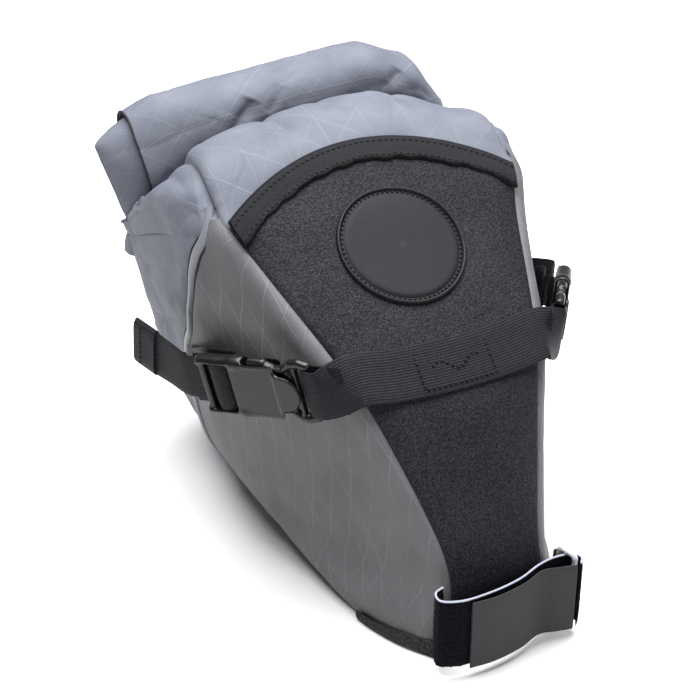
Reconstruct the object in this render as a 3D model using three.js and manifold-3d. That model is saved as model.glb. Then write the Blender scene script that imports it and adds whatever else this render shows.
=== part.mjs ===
// A roll-top saddle bag lying on its back panel: a sewn fabric body with a black face panel,
// two strap buckles that close round the saddle rails, and a hook-and-loop seatpost strap.
// Millimetres. +X is the bag's right side, +Y runs from the nose to the back, +Z is up.
// The origin is on the ground, straight below the box stitch of the front webbing.
import * as THREE from 'three';
import { mergeVertices } from 'three/addons/utils/BufferGeometryUtils.js';
import Module from 'manifold-3d';

const wasm = await Module();
wasm.setup();

// ---- driving dimensions -------------------------------------------------------------
const FABRIC = 1.6;              // thickness of a laminate panel with its seam allowance
const SEAM_GAP = 1.5;            // each panel stops this far short of the seam line
const WEBBING_WIDTH = 25;
const WEBBING = 1.6;
const LIFT = 0.35;               // clearance between pieces that lie on each other
const PATCH_RADIUS = 32;
const PATCH_CENTRE = 5.08;       // section number of the patch's centre
const PATCH_RIM = 4;
const BINDING_WIDTH = 12.5;
const STRAP_WIDTH = 38;          // hook-and-loop strap at the nose
const STRAP = 1.5;

// Body sections from the ground up to the neck. front and back are [y, z] of the section's ends,
// face is half the width of the front panel, half is half the greatest width, at is where along
// the section that width is reached, flare shapes the side and square the back corner.
const SECTIONS = [
  { front: [-47, 0], back: [188, 0], face: 28, half: 51, at: 0.55, flare: 5, square: 3.6, crown: 1, droop: 0 },
  { front: [-48.5, 28], back: [200, 24], face: 25, half: 70, at: 0.54, flare: 1.7, square: 3.6, crown: 1, droop: 0 },
  { front: [-42, 53], back: [206, 46], face: 25.5, half: 79, at: 0.55, flare: 1.4, square: 3.8, crown: 2, droop: 0 },
  { front: [-23, 92], back: [209, 74], face: 36.5, half: 85, at: 0.54, flare: 1.5, square: 4.2, crown: 5, droop: 0 },
  { front: [0, 126], back: [213, 98], face: 49, half: 88, at: 0.5, flare: 1.9, square: 5, crown: 7, droop: 4 },
  { front: [53, 161], back: [216, 116], face: 67, half: 91, at: 0.32, flare: 2, square: 5.5, crown: 4, droop: 8 },
  { front: [80, 178], back: [216, 130], face: 76, half: 92, at: 0.22, flare: 2, square: 6, crown: 1, droop: 13 },
  { front: [112, 197], back: [213, 144], face: 76, half: 91, at: 0.22, flare: 2, square: 6, crown: 0, droop: 21 },
  { front: [150, 199], back: [207, 156], face: 72, half: 88, at: 0.35, flare: 2, square: 4, crown: 0, droop: 34 },
  { front: [178, 174], back: [201, 165], face: 72, half: 87, at: 0.5, flare: 2, square: 3, crown: 0, droop: 48 },
];
const CORNER = 6;                // section number of the face panel's top corners
const APEX = 6.82;               // section number of the top of the face panel's arched edge
const NECK = SECTIONS.length - 1;

// The side panel's back seam, as a place q round the body: low on the ground, close at the corner.
const SIDE_SEAM = [[0, 1.6], [1.5, 1.58], [3, 1.53], [4, 1.5], [4.5, 1.47], [5, 1.385], [5.5, 1.28],
  [CORNER, 1.12]];

// The rolled closure: a bowed tube, fatter at its left end. high and deep are half its height
// and half its depth.
const ROLL_Y = 190;
const ROLL_SPIRAL = 2.2;
const ROLL_SECTIONS = [
  { x: -103, z: 158, high: 28, deep: 14 },
  { x: -68, z: 179, high: 23, deep: 17 },
  { x: -30, z: 189, high: 17, deep: 18 },
  { x: 12, z: 195, high: 15, deep: 18 },
  { x: 48, z: 197.5, high: 15, deep: 17 },
  { x: 74, z: 190, high: 13, deep: 16 },
  { x: 98, z: 165, high: 9, deep: 12 },
];
const BUCKLE_LENGTH = 62;        // drawn length; the two ends below scale it
const BUCKLE_START = new THREE.Vector3(-62.8, 12.8, 120.8);
const BUCKLE_END = new THREE.Vector3(-97.5, 61, 109);
const BUCKLE_TOP = new THREE.Vector3(-0.25, 0.2, 0.94);

const COLOUR = {
  face: 0x2b2b2e, grey: 0x77787a, blueGrey: 0x8a8e98, webbing: 0x1c1c1e, plastic: 0x232325,
  binding: 0x333336, light: 0xa6a8ac, rubber: 0x1b1a1c, sheet: 0xd9d9d6, loop: 0x14141d, clear: 0xb9bcc0,
};

// ---- small helpers --------------------------------------------------------------------
const bag = new THREE.Group();

function material(colour, roughness = 0.8, metalness = 0) {
  return new THREE.MeshStandardMaterial({ color: colour, roughness, metalness });
}

function place(name, geometry, finish, parent = bag) {
  const mesh = new THREE.Mesh(geometry, finish);
  mesh.name = name;
  parent.add(mesh);
  return mesh;
}

const mix = (a, b, t) => a + (b - a) * t;

function smoothStep(t) {
  const c = Math.min(1, Math.max(0, t));
  return c * c * (3 - 2 * c);
}

// Catmull-Rom through the section table, so that the panels have no kinks between sections.
function sectionValue(pick, v) {
  const i = Math.min(NECK - 1, Math.max(0, Math.floor(v)));
  const t = v - i;
  const at = (k) => pick(SECTIONS[Math.min(NECK, Math.max(0, k))]);
  const [a, b, c, d] = [at(i - 1), at(i), at(i + 1), at(i + 2)];
  return 0.5 * (2 * b + (c - a) * t + (2 * a - 5 * b + 4 * c - d) * t * t + (3 * b - a - 3 * c + d) * t ** 3);
}

// Point of the body. q runs from -2 to 2: 0 is the front centre, +-1 the edge of the front panel
// and +-2 the back centre; v is the section number.
function bodyPoint(q, v) {
  const get = (key) => sectionValue((s) => s[key], v);
  const end = (key, k) => sectionValue((s) => s[key][k], v);
  const [fy, fz, by, bz] = [end('front', 0), end('front', 1), end('back', 0), end('back', 1)];
  const depth = Math.hypot(by - fy, bz - fz);
  const [face, half, crown, square] = [get('face'), get('half'), get('crown'), get('square')];
  const widest = Math.max(depth * get('at'), crown + 2);
  const a = Math.abs(q);
  let x;
  let d;
  if (a <= 1) {
    x = face * a;
    d = crown * a * a;
  } else if (a <= 1.5) {
    const t = (a - 1) * 2;
    x = face + (half - face) * (1 - (1 - t) ** get('flare'));
    d = crown + (widest - crown) * t;
  } else {
    const angle = smoothStep((a - 1.5) * 2) * (Math.PI / 2);
    x = half * Math.cos(angle) ** (2 / square);
    d = widest + (depth - widest) * Math.sin(angle) ** (2 / square);
  }
  const share = smoothStep((v - CORNER - 0.5) / 2);
  const droop = get('droop') * (x / 90) ** 2 * mix(d / depth, 1, share);
  const y = fy + ((by - fy) * d) / depth;
  const z = fz + ((bz - fz) * d) / depth - droop;
  return new THREE.Vector3(q < 0 ? -x : x, y, z);
}

// Closed solid from a grid of outer points and a grid of inner points. A loop's last column
// joins its first.
function slab(outer, inner, loop = false) {
  const rows = outer.length;
  const cols = outer[0].length;
  const lastCol = loop ? cols : cols - 1;
  const positions = [];
  for (const grid of [outer, inner]) {
    for (const row of grid) {
      for (const p of row) positions.push(p.x, p.y, p.z);
    }
  }
  const id = (layer, i, j) => layer * rows * cols + i * cols + (j % cols);
  const index = [];
  const quad = (a, b, c, d) => index.push(a, b, c, a, c, d);
  for (let i = 0; i < rows - 1; i += 1) {
    for (let j = 0; j < lastCol; j += 1) {
      quad(id(0, i, j), id(0, i, j + 1), id(0, i + 1, j + 1), id(0, i + 1, j));
      quad(id(1, i, j), id(1, i + 1, j), id(1, i + 1, j + 1), id(1, i, j + 1));
    }
  }
  for (let j = 0; j < lastCol; j += 1) {
    quad(id(0, 0, j), id(1, 0, j), id(1, 0, j + 1), id(0, 0, j + 1));
    quad(id(0, rows - 1, j), id(0, rows - 1, j + 1), id(1, rows - 1, j + 1), id(1, rows - 1, j));
  }
  for (let i = 0; i < rows - 1 && !loop; i += 1) {
    quad(id(0, i, 0), id(0, i + 1, 0), id(1, i + 1, 0), id(1, i, 0));
    quad(id(0, i, cols - 1), id(1, i, cols - 1), id(1, i + 1, cols - 1), id(0, i + 1, cols - 1));
  }
  return outward(positions, index);
}

// Indexed geometry with its faces turned outward.
function outward(positions, index) {
  const p = (k) => new THREE.Vector3().fromArray(positions, 3 * k);
  let volume = 0;
  for (let k = 0; k < index.length; k += 3) {
    volume += p(index[k]).dot(p(index[k + 1]).cross(p(index[k + 2])));
  }
  const faces = volume > 0 ? index : index.slice().reverse();
  const geometry = new THREE.BufferGeometry();
  geometry.setAttribute('position', new THREE.Float32BufferAttribute(positions, 3));
  geometry.setIndex(faces);
  geometry.computeVertexNormals();
  return geometry;
}

// Part of the body's skin, from its surface plus rise inward to a thickness.
function skin(place2d, rows, cols, rise, thickness, loop = false) {
  const outer = [];
  const inner = [];
  for (let i = 0; i <= rows; i += 1) {
    outer.push([]);
    inner.push([]);
    for (let j = 0; j < (loop ? cols : cols + 1); j += 1) {
      const [q, v] = place2d(i / rows, j / cols);
      const { point, normal } = bodyFrame(q, v);
      outer[i].push(point.clone().addScaledVector(normal, rise));
      inner[i].push(point.clone().addScaledVector(normal, rise - thickness));
    }
  }
  return slab(outer, inner, loop);
}

// Point and outward normal of the body at (q, v), by central differences. On the crease at the
// front panel's edge the normal is halfway between its two sides.
function bodyFrame(q, v) {
  if (Math.abs(Math.abs(q) - 1) < 1e-6) {
    const normal = bodyFrame(q * 0.97, v).normal.add(bodyFrame(q * 1.03, v).normal).normalize();
    return { point: bodyPoint(q, v), normal };
  }
  const step = 0.02;
  const clampV = (w) => Math.min(NECK, Math.max(0, w));
  const point = bodyPoint(q, v);
  const alongQ = Math.abs(q) > 1
    ? bodyPoint(keepSide(q, step), v).sub(bodyPoint(keepSide(q, -step), v))
    : bodyPoint(Math.min(1, q + step), v).sub(bodyPoint(Math.max(-1, q - step), v));
  const alongV = bodyPoint(q, clampV(v + step)).sub(bodyPoint(q, clampV(v - step)));
  return { point, normal: alongQ.cross(alongV).normalize() };
}

// Moves q by a step without leaving the side or back of the body.
function keepSide(q, step) {
  const moved = q + step;
  const size = Math.min(1.999, Math.max(1.001, Math.abs(moved)));
  return Math.sign(q) * size;
}

// Flat strip of one width and thickness along a smooth line, with its width direction given.
function ribbon(points, ups, width, thickness, steps) {
  const line = new THREE.CatmullRomCurve3(points.map((p) => new THREE.Vector3(...p)), false, 'centripetal');
  const outer = [];
  const inner = [];
  for (let i = 0; i <= steps; i += 1) {
    const t = i / steps;
    const centre = line.getPoint(t);
    const along = line.getTangent(t);
    const k = Math.min(ups.length - 2, Math.floor(t * (ups.length - 1)));
    const up = new THREE.Vector3(...ups[k]).lerp(new THREE.Vector3(...ups[k + 1]), t * (ups.length - 1) - k);
    up.addScaledVector(along, -up.dot(along)).normalize();
    const normal = along.clone().cross(up);
    const row = (side) => [-0.5, 0.5].map((s) => centre.clone()
      .addScaledVector(up, s * width).addScaledVector(normal, (side * thickness) / 2));
    outer.push(row(1));
    inner.push(row(-1));
  }
  return slab(outer, inner);
}

function toSolid(geometry) {
  const bare = geometry.clone();
  bare.deleteAttribute('normal');
  bare.deleteAttribute('uv');
  const merged = mergeVertices(bare, 1e-4);
  return new wasm.Manifold(new wasm.Mesh({
    numProp: 3,
    vertProperties: new Float32Array(merged.attributes.position.array),
    triVerts: new Uint32Array(merged.index.array),
  }));
}

function fromSolid(solid) {
  const { vertProperties, triVerts } = solid.getMesh();
  const geometry = new THREE.BufferGeometry();
  geometry.setAttribute('position', new THREE.BufferAttribute(vertProperties, 3));
  geometry.setIndex(new THREE.BufferAttribute(triVerts, 1));
  geometry.computeVertexNormals();
  return geometry;
}

// Box between two corners.
function block(low, high) {
  const size = high.map((h, k) => h - low[k]);
  const box = new THREE.BoxGeometry(...size);
  box.translate(...low.map((l, k) => l + size[k] / 2));
  return box;
}

function cut(base, ...tools) {
  let solid = toSolid(base);
  for (const tool of tools) solid = solid.subtract(toSolid(tool));
  return fromSolid(solid);
}

function join(...pieces) {
  let solid = toSolid(pieces[0]);
  for (const piece of pieces.slice(1)) solid = solid.add(toSolid(piece));
  return fromSolid(solid);
}

// ---- fabric body ------------------------------------------------------------------------
// Millimetres per unit of q and of v at a place on the body.
function scaleQ(q, v) {
  return bodyPoint(q + 0.01, v).distanceTo(bodyPoint(q, v)) / 0.01;
}

function scaleV(q, v) {
  return bodyPoint(q, v).distanceTo(bodyPoint(q, v - 0.05)) / 0.05;
}

function sideSeam(v) {
  const high = Math.max(1, SIDE_SEAM.findIndex(([end]) => end >= Math.min(v, CORNER)));
  const [[v0, q0], [v1, q1]] = SIDE_SEAM.slice(high - 1, high + 1);
  return mix(q0, q1, (Math.min(v, CORNER) - v0) / (v1 - v0));
}

const archTop = (q) => APEX - (APEX - CORNER) * q * q;

function addFrontPanel() {
  const edge = (v) => 1 - SEAM_GAP / sectionValue((s) => s.face, v);
  const onPanel = (i, j) => {
    const across = mix(-1, 1, j);
    const v = mix(0, archTop(across), i);
    return [across * edge(v), v];
  };
  place('front_panel', skin(onPanel, 14, 12, 0, FABRIC), material(COLOUR.face, 0.95));
  const onStiffener = (i, j) => [mix(-0.82, 0.82, j), mix(0.7, CORNER - 0.3, i)];
  const inward = -(FABRIC + 1.4);
  place('front_stiffener', skin(onStiffener, 12, 10, inward, 1), material(COLOUR.sheet, 0.5));
}

function addTopBinding() {
  const onEdge = (i, j) => {
    const q = mix(-0.985, 0.985, j);
    const top = archTop(q) - 0.02;
    return [q, mix(top - BINDING_WIDTH / scaleV(q, top), top, i)];
  };
  place('top_binding', skin(onEdge, 2, 20, LIFT + 1, 1), material(COLOUR.binding, 0.8));
}

// Section number reached from v after a length along the front centre line.
function climb(v, length) {
  const steps = 24;
  let at = v;
  for (let k = 0; k < steps; k += 1) at += length / steps / scaleV(0, at);
  return at;
}

// Round patch: a disc on the front panel with a raised rim.
function addPatch() {
  const at = (x, rise) => {
    const v = climb(PATCH_CENTRE, rise);
    return [x / sectionValue((s) => s.face, v), v];
  };
  const inner = PATCH_RADIUS - PATCH_RIM - LIFT;
  const onDisc = (i, j) => {
    const [a, b] = [mix(-1, 1, i), mix(-1, 1, j)];
    return at(inner * a * Math.sqrt(1 - (b * b) / 2), inner * b * Math.sqrt(1 - (a * a) / 2));
  };
  place('round_patch', skin(onDisc, 10, 10, LIFT + 1.2, 1.2), material(COLOUR.binding, 0.6));
  const onRim = (i, j) => {
    const r = mix(PATCH_RADIUS - PATCH_RIM, PATCH_RADIUS, i);
    return at(r * Math.cos(j * 2 * Math.PI), r * Math.sin(j * 2 * Math.PI));
  };
  place('patch_rim', skin(onRim, 2, 32, LIFT + 2, 2, true), material(COLOUR.webbing, 0.6));
}

function addSidePanel(side, name) {
  const onSide = (i, j) => {
    const v = mix(0, CORNER - 0.1, i);
    const low = 1 + SEAM_GAP / scaleQ(1.01, v);
    const high = sideSeam(v) - 1 / scaleQ(sideSeam(v), v);
    return [side * mix(low, Math.max(low + 0.02, high), j), v];
  };
  place(name, skin(onSide, 14, 10, 0, FABRIC), material(COLOUR.grey, 0.55));
}

// Folded tape that stands on the side panel's back seam.
function addSeamTape(side, name) {
  const onSeam = (i, j) => {
    const v = mix(1.2, CORNER - 0.05, i);
    const seam = sideSeam(v);
    return [side * (seam + mix(-3, 2, j) / scaleQ(seam, v)), v];
  };
  place(name, skin(onSeam, 12, 1, LIFT + 1.2, 1.2), material(COLOUR.light, 0.6));
}

function addBackPanel() {
  const onBack = (i, j) => {
    const v = mix(0, CORNER - 0.5, i);
    const start = sideSeam(v) + 1 / scaleQ(sideSeam(v), v);
    const q = mix(start, 4 - start, j);
    return [q > 2 ? q - 4 : q, v];
  };
  place('back_panel', skin(onBack, 14, 20, 0, FABRIC), material(COLOUR.blueGrey, 0.6));
}

function addCollar() {
  const onCollar = (i, j) => {
    const turn = mix(-2, 2, j);
    const start = Math.abs(turn) < 1 ? archTop(turn) : CORNER + 0.08;
    return [turn, mix(start + 0.05, NECK, i)];
  };
  place('collar', skin(onCollar, 9, 40, 0, FABRIC, true), material(COLOUR.blueGrey, 0.6));
}

// Outline of the body on the ground, moved inward.
function groundOutline(inset, count) {
  const outline = new THREE.Shape();
  for (let k = 0; k < count; k += 1) {
    const { point, normal } = bodyFrame(mix(-1.98, 1.98, k / (count - 1)), 0.001);
    normal.z = 0;
    point.addScaledVector(normal.normalize(), -inset);
    if (k === 0) outline.moveTo(point.x, point.y);
    else outline.lineTo(point.x, point.y);
  }
  return outline;
}

function addBottomPanel() {
  const plate = new THREE.ExtrudeGeometry(groundOutline(4, 41), { depth: FABRIC, bevelEnabled: false });
  place('bottom_panel', plate, material(COLOUR.grey, 0.6));
  const inner = new THREE.ExtrudeGeometry(groundOutline(12, 33), { depth: 1, bevelEnabled: false });
  inner.translate(0, 0, FABRIC + LIFT);
  place('bottom_stiffener', inner, material(COLOUR.sheet, 0.5));
}

function addNoseBase() {
  const onNose = (i, j) => {
    const turn = mix(-1.4, 1.4, j);
    const q = Math.abs(turn) > 1 ? Math.sign(turn) * mix(1, 1.13, (Math.abs(turn) - 1) / 0.4) : turn;
    return [q, mix(0.06, 0.42, i)];
  };
  place('nose_base', skin(onNose, 3, 14, LIFT + 1.6, 1.2), material(COLOUR.rubber, 0.8));
}

// ---- rolled closure ---------------------------------------------------------------------
function rollSection(x) {
  const last = ROLL_SECTIONS.length - 2;
  const next = ROLL_SECTIONS.findIndex((section) => section.x > x);
  const i = Math.min(last, Math.max(0, (next < 0 ? last + 1 : next) - 1));
  const [a, b] = [ROLL_SECTIONS[i], ROLL_SECTIONS[i + 1]];
  const t = smoothStep((x - a.x) / (b.x - a.x)) * 0.4 + ((x - a.x) / (b.x - a.x)) * 0.6;
  return { z: mix(a.z, b.z, t), high: mix(a.high, b.high, t), deep: mix(a.deep, b.deep, t) };
}

// One layer of the roll, between two x places and two angles, inset from the outer surface.
function rollLayer([x0, x1], [a0, a1], inset, wall, rows, cols) {
  const ring = (x, extra) => {
    const { z, high, deep } = rollSection(x);
    return Array.from({ length: cols + 1 }, (_, j) => {
      const angle = THREE.MathUtils.degToRad(mix(a0, a1, j / cols));
      const spiral = inset + extra + (ROLL_SPIRAL * j) / cols;
      const y = ROLL_Y + (deep - spiral) * Math.cos(angle);
      return new THREE.Vector3(x, y, z + (high - spiral) * Math.sin(angle));
    });
  };
  const xs = Array.from({ length: rows + 1 }, (_, i) => mix(x0, x1, i / rows));
  return slab(xs.map((x) => ring(x, 0)), xs.map((x) => ring(x, wall)));
}

function addRoll() {
  const finish = material(COLOUR.blueGrey, 0.6);
  const [left, right] = [ROLL_SECTIONS[0].x, ROLL_SECTIONS[ROLL_SECTIONS.length - 1].x];
  const outer = rollLayer([left + 21, right], [-130, 200], 0, 1.6, 14, 20);
  place('roll_outer_wrap', outer, finish);
  const inner = rollLayer([left, right - 8], [-120, 210], 4.2, 1.4, 14, 16);
  place('roll_inner_wrap', inner, finish);
  const strip = rollLayer([-90, 76], [60, 120], 8.6, 1, 8, 2);
  place('roll_stiffener', strip, material(COLOUR.sheet, 0.5));
}

// ---- buckles ----------------------------------------------------------------------------
// Frame of a buckle: u runs from the front webbing's bar to the ladder lock, n points outward.
function buckleFrame(side) {
  const mirror = (p) => new THREE.Vector3(-side * p.x, p.y, p.z);
  const origin = mirror(BUCKLE_START);
  const scale = mirror(BUCKLE_END).distanceTo(origin) / BUCKLE_LENGTH;
  const along = mirror(BUCKLE_END).sub(origin).normalize();
  const top = mirror(BUCKLE_TOP);
  top.addScaledVector(along, -top.dot(along)).normalize();
  const out = new THREE.Vector3().crossVectors(along, top);
  if (out.x * side < 0) out.negate();
  const across = new THREE.Vector3().crossVectors(out, along);
  const world = (u, w, n) => origin.clone().addScaledVector(along, u * scale)
    .addScaledVector(across, w).addScaledVector(out, n);
  const stretched = along.clone().multiplyScalar(scale);
  const matrix = new THREE.Matrix4().makeBasis(stretched, across, out).setPosition(origin);
  return { across, world, matrix };
}

function maleBody() {
  const base = block([0.9, -15.5, -2.4], [14, 15.5, 2.4]);
  const slot = block([3.5, -13.2, -4], [9.2, 13.2, 4]);
  const thinBar = [block([-1, -13.2, 1.2], [5, 13.2, 4]), block([-1, -13.2, -4], [5, 13.2, -1.2])];
  const guide = block([13, -2.4, -1.8], [34, 2.4, 1.8]);
  const window = (s) => {
    const shape = new THREE.Shape();
    shape.moveTo(10.4, s * 6);
    shape.lineTo(12.8, s * 6.5);
    shape.lineTo(12.8, s * 12.5);
    const hole = new THREE.ExtrudeGeometry(shape, { depth: 8, bevelEnabled: false });
    return hole.translate(0, 0, -4);
  };
  return join(cut(base, slot, ...thinBar, window(-1), window(1)), guide);
}

// Springy prong with its press pad: w is the side it lies on.
function prong(w) {
  const shape = new THREE.Shape();
  shape.moveTo(14.8, w * 9.8);
  shape.lineTo(33, w * 9.8);
  shape.quadraticCurveTo(36.5, w * 10, 36, w * 12);
  shape.quadraticCurveTo(35.5, w * 14.6, 33, w * 15.2);
  shape.lineTo(30, w * 15.2);
  shape.quadraticCurveTo(27, w * 15, 25, w * 13.7);
  shape.quadraticCurveTo(22, w * 12.4, 14.8, w * 12.4);
  const body = new THREE.ExtrudeGeometry(shape, { depth: 5.6, bevelEnabled: false, curveSegments: 4 });
  return body.translate(0, 0, -2.8);
}

function femaleBody() {
  const outline = new THREE.Shape();
  outline.moveTo(18, -15.8);
  outline.lineTo(62, -15.8);
  outline.lineTo(62, 15.8);
  outline.lineTo(18, 15.8);
  const options = { depth: 10, bevelEnabled: false, curveSegments: 6 };
  const shell = new THREE.ExtrudeGeometry(outline, options).translate(0, 0, -5);
  const tongue = new THREE.Shape();
  tongue.moveTo(19, -9);
  tongue.lineTo(19, 9);
  tongue.lineTo(14, 8.5);
  tongue.quadraticCurveTo(9.5, 5, 9.5, 0);
  tongue.quadraticCurveTo(9.5, -5, 14, -8.5);
  const lip = new THREE.ExtrudeGeometry(tongue, { ...options, depth: 1.6 }).translate(0, 0, 3.4);
  const cavity = block([16, -14, -3.3], [42.5, 14, 3.3]);
  const windows = block([19.5, -18, -3.3], [36, 18, 3.3]);
  const ladder = [block([44.5, -13.2, -7], [50, 13.2, 7]), block([53.4, -13.2, -7], [59.4, 13.2, 7])];
  const thin = [
    block([44.4, -18, 3.2], [64, 18, 7]),
    block([44.4, -18, -7], [64, 18, -3.2]),
    block([49, -13.2, 1.5], [54, 13.2, 7]),
    block([49, -13.2, -7], [54, 13.2, -1.5]),
    block([59, -13.2, -7], [64, 13.2, -1.2]),
  ];
  return join(cut(shell, cavity, windows, ...ladder, ...thin), lip);
}

function addBuckle(side, name) {
  const frame = buckleFrame(side);
  const plastic = material(COLOUR.plastic, 0.4);
  const put = (piece, geometry) => place(piece, geometry.applyMatrix4(frame.matrix), plastic);
  put(`${name}_buckle_male`, maleBody());
  const upward = Math.sign(frame.across.z);
  put(`${name}_prong_upper`, prong(upward));
  put(`${name}_prong_lower`, prong(-upward));
  put(`${name}_buckle_female`, femaleBody());
}

// Where each loose tail ends, how far it bows outward, and the direction of its width. The left one
// is short and stands out from the bag; the right one runs back along it.
const TAIL_END = {
  left: new THREE.Vector3(-109.8, 97.5, 109.6),
  right: new THREE.Vector3(95.5, 152, 79),
};
const TAIL_BOW = { left: 0.6, right: 2 };
const TAIL_UP = { left: [0.03, -0.08, 0.99], right: [0, 0.25, 0.97] };

// Webbing at the ladder lock, the loose tail with its folded hem, and the strap sewn to the bag.
function addSideWebbing(side, name) {
  const { world, across } = buckleFrame(side);
  const finish = material(COLOUR.webbing, 0.85);
  const list = (points) => points.map(([u, n]) => world(u, 0, n).toArray());
  const flat = across.toArray();
  const lock = [[72, -2.9], [62, -2.8], [58, -2.2], [56.2, 0.6], [54.4, 2.9], [50.4, 2.9], [47.2, 0.6],
    [47, -2.4], [50, -5.2], [58, -5.6], [70, -5.6]];
  const webbing = (piece, points, ups, steps) => place(piece,
    ribbon(points, ups, WEBBING_WIDTH, WEBBING, steps), finish);
  webbing(`${name}_ladder_webbing`, list(lock), [flat, flat], 40);
  const root = world(73.5, 0, -5.6);
  const end = TAIL_END[name];
  const middle = root.clone().lerp(end, 0.5).add(new THREE.Vector3(side * TAIL_BOW[name], 0, 0));
  const up = TAIL_UP[name].map((c) => c * Math.sign(across.z));
  const tail = [root, world(78, 0, -5.7), middle, end];
  webbing(`${name}_tail`, tail.map((p) => p.toArray()), [flat, up], 12);
  const beyond = end.clone().add(end.clone().sub(middle).normalize().multiplyScalar(14));
  const start = end.clone().lerp(beyond, 0.04);
  place(`${name}_tail_hem`, ribbon([start.toArray(), beyond.toArray()], [up, up],
    WEBBING_WIDTH, 4.8, 1), finish);
  const sewn = new THREE.Vector3(side * 89.3, 104.5, 91.3);
  const anchor = [sewn, new THREE.Vector3(side * 90, 94, 94.5), world(64, 0, -9.6), world(48, 0, -9.2)];
  const sewnUp = TAIL_UP.right.map((c) => c * Math.sign(across.z));
  webbing(`${name}_anchor_webbing`, anchor.map((p) => p.toArray()), [sewnUp, flat], 14);
}

// The front webbing: sewn down at its centre, and wrapped round both male bars.
function addFrontWebbing() {
  const left = buckleFrame(-1);
  const right = buckleFrame(1);
  const wrap = [[-13, -2.6], [-4, -2.7], [2, -2.8], [4.9, -1.7], [5.1, 1.4], [2, 2.8], [-4, 2.6]];
  const leftEnd = wrap.map(([u, n]) => left.world(u, 0, n).toArray());
  const rightEnd = wrap.map(([u, n]) => right.world(u, 0, n).toArray()).reverse();
  const lift = WEBBING / 2 + LIFT;
  const onPanel = [-0.96, -0.6, 0, 0.6, 0.96].map((q) => {
    const { point, normal } = bodyFrame(q, 4);
    return point.addScaledVector(normal, lift + (Math.abs(q) > 0.9 ? 1.6 : 0.4)).toArray();
  });
  const slope = bodyPoint(0, 4.1).sub(bodyPoint(0, 3.9)).normalize().toArray();
  const upLeft = left.across.toArray().map((c) => c * Math.sign(left.across.z));
  const upRight = right.across.toArray().map((c) => c * Math.sign(right.across.z));
  const route = [...leftEnd, ...onPanel, ...rightEnd];
  const ups = [...leftEnd.map(() => upLeft), ...onPanel.map(() => slope), ...rightEnd.map(() => upRight)];
  place('front_webbing', ribbon(route, ups, WEBBING_WIDTH, WEBBING, 72), material(COLOUR.webbing, 0.85));
}

// ---- seatpost strap ---------------------------------------------------------------------
function addSeatpostStrap() {
  const middle = 24;
  const upright = [0, 0, 1];
  const strip = (name, route, width, thickness, steps, colour) => {
    const points = route.map(([x, y]) => [x, y, middle]);
    place(name, ribbon(points, [upright, upright], width, thickness, steps), material(colour, 0.95));
  };
  const inner = [[-30.6, -49.5], [-35.5, -51.5], [-36.5, -57], [-28, -61.5], [-12, -62], [4, -59.5],
    [16, -55], [23, -53.4], [30, -53.4], [35.6, -54.8], [37.6, -58.6], [35, -62.2]];
  strip('seatpost_strap', inner, STRAP_WIDTH, STRAP, 40, COLOUR.loop);
  const flap = [[33, -62.4], [25, -60.6], [17, -58.8], [4, -63.2], [-12, -65.6], [-24, -64.9]];
  strip('strap_flap', flap, STRAP_WIDTH, STRAP, 18, COLOUR.webbing);
  const hook = [[3, -62.05], [-12, -64.1], [-22, -63.6]];
  strip('flap_hook', hook, STRAP_WIDTH - 4, 0.7, 6, COLOUR.face);
  const tab = [[28.3, -49.3], [30.8, -46.3], [34.2, -47.7], [34.1, -51.1], [31, -51.9]];
  strip('ring_tab', tab, STRAP_WIDTH - 3, 1, 16, COLOUR.webbing);
  addRing(middle);
}

// Flat ring: its inner bar sits in the tab and its outer bar turns the strap back.
function addRing(middle) {
  const [from, to] = [new THREE.Vector2(31.4, -49.3), new THREE.Vector2(34, -58.6)];
  const reach = from.distanceTo(to);
  const [half, bar] = [STRAP_WIDTH / 2 + 3, 1.3];
  const plate = block([-bar, -bar, -half], [reach + bar, bar, half]);
  const slot = block([bar, -4, 2.4 - half], [reach - bar, 4, half - 2.4]);
  const ring = cut(plate, slot);
  const turn = Math.atan2(to.y - from.y, to.x - from.x);
  ring.rotateZ(turn);
  ring.translate(from.x, from.y, middle);
  place('strap_ring', ring, material(COLOUR.clear, 0.3));
}

// ---- assembly ---------------------------------------------------------------------------
addFrontPanel();
addTopBinding();
addPatch();
addSidePanel(-1, 'left_side_panel');
addSidePanel(1, 'right_side_panel');
addSeamTape(-1, 'left_seam_tape');
addSeamTape(1, 'right_seam_tape');
addBackPanel();
addCollar();
addBottomPanel();
addNoseBase();
addRoll();
addFrontWebbing();
addBuckle(-1, 'left');
addBuckle(1, 'right');
addSideWebbing(-1, 'left');
addSideWebbing(1, 'right');
addSeatpostStrap();

export default bag;
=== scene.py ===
"""Saddle bag lying on its bottom panel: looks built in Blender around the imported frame.
"""
import math

import bmesh
import bpy
import numpy as np
from mathutils import Matrix, Vector


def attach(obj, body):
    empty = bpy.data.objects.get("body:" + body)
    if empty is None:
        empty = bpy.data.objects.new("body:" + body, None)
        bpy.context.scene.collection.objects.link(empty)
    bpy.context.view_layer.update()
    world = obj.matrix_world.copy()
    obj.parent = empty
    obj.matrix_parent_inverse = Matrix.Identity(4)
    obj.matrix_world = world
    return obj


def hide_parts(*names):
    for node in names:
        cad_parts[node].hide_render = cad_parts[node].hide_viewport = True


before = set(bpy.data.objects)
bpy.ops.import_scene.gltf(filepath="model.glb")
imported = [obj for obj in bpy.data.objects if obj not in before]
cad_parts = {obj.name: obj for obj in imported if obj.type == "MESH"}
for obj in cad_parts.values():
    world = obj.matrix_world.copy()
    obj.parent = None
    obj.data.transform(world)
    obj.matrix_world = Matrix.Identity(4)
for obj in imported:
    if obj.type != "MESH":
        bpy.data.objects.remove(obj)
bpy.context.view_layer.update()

MM = 0.001

# ---------------------------------------------------------------- driving dimensions

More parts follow.
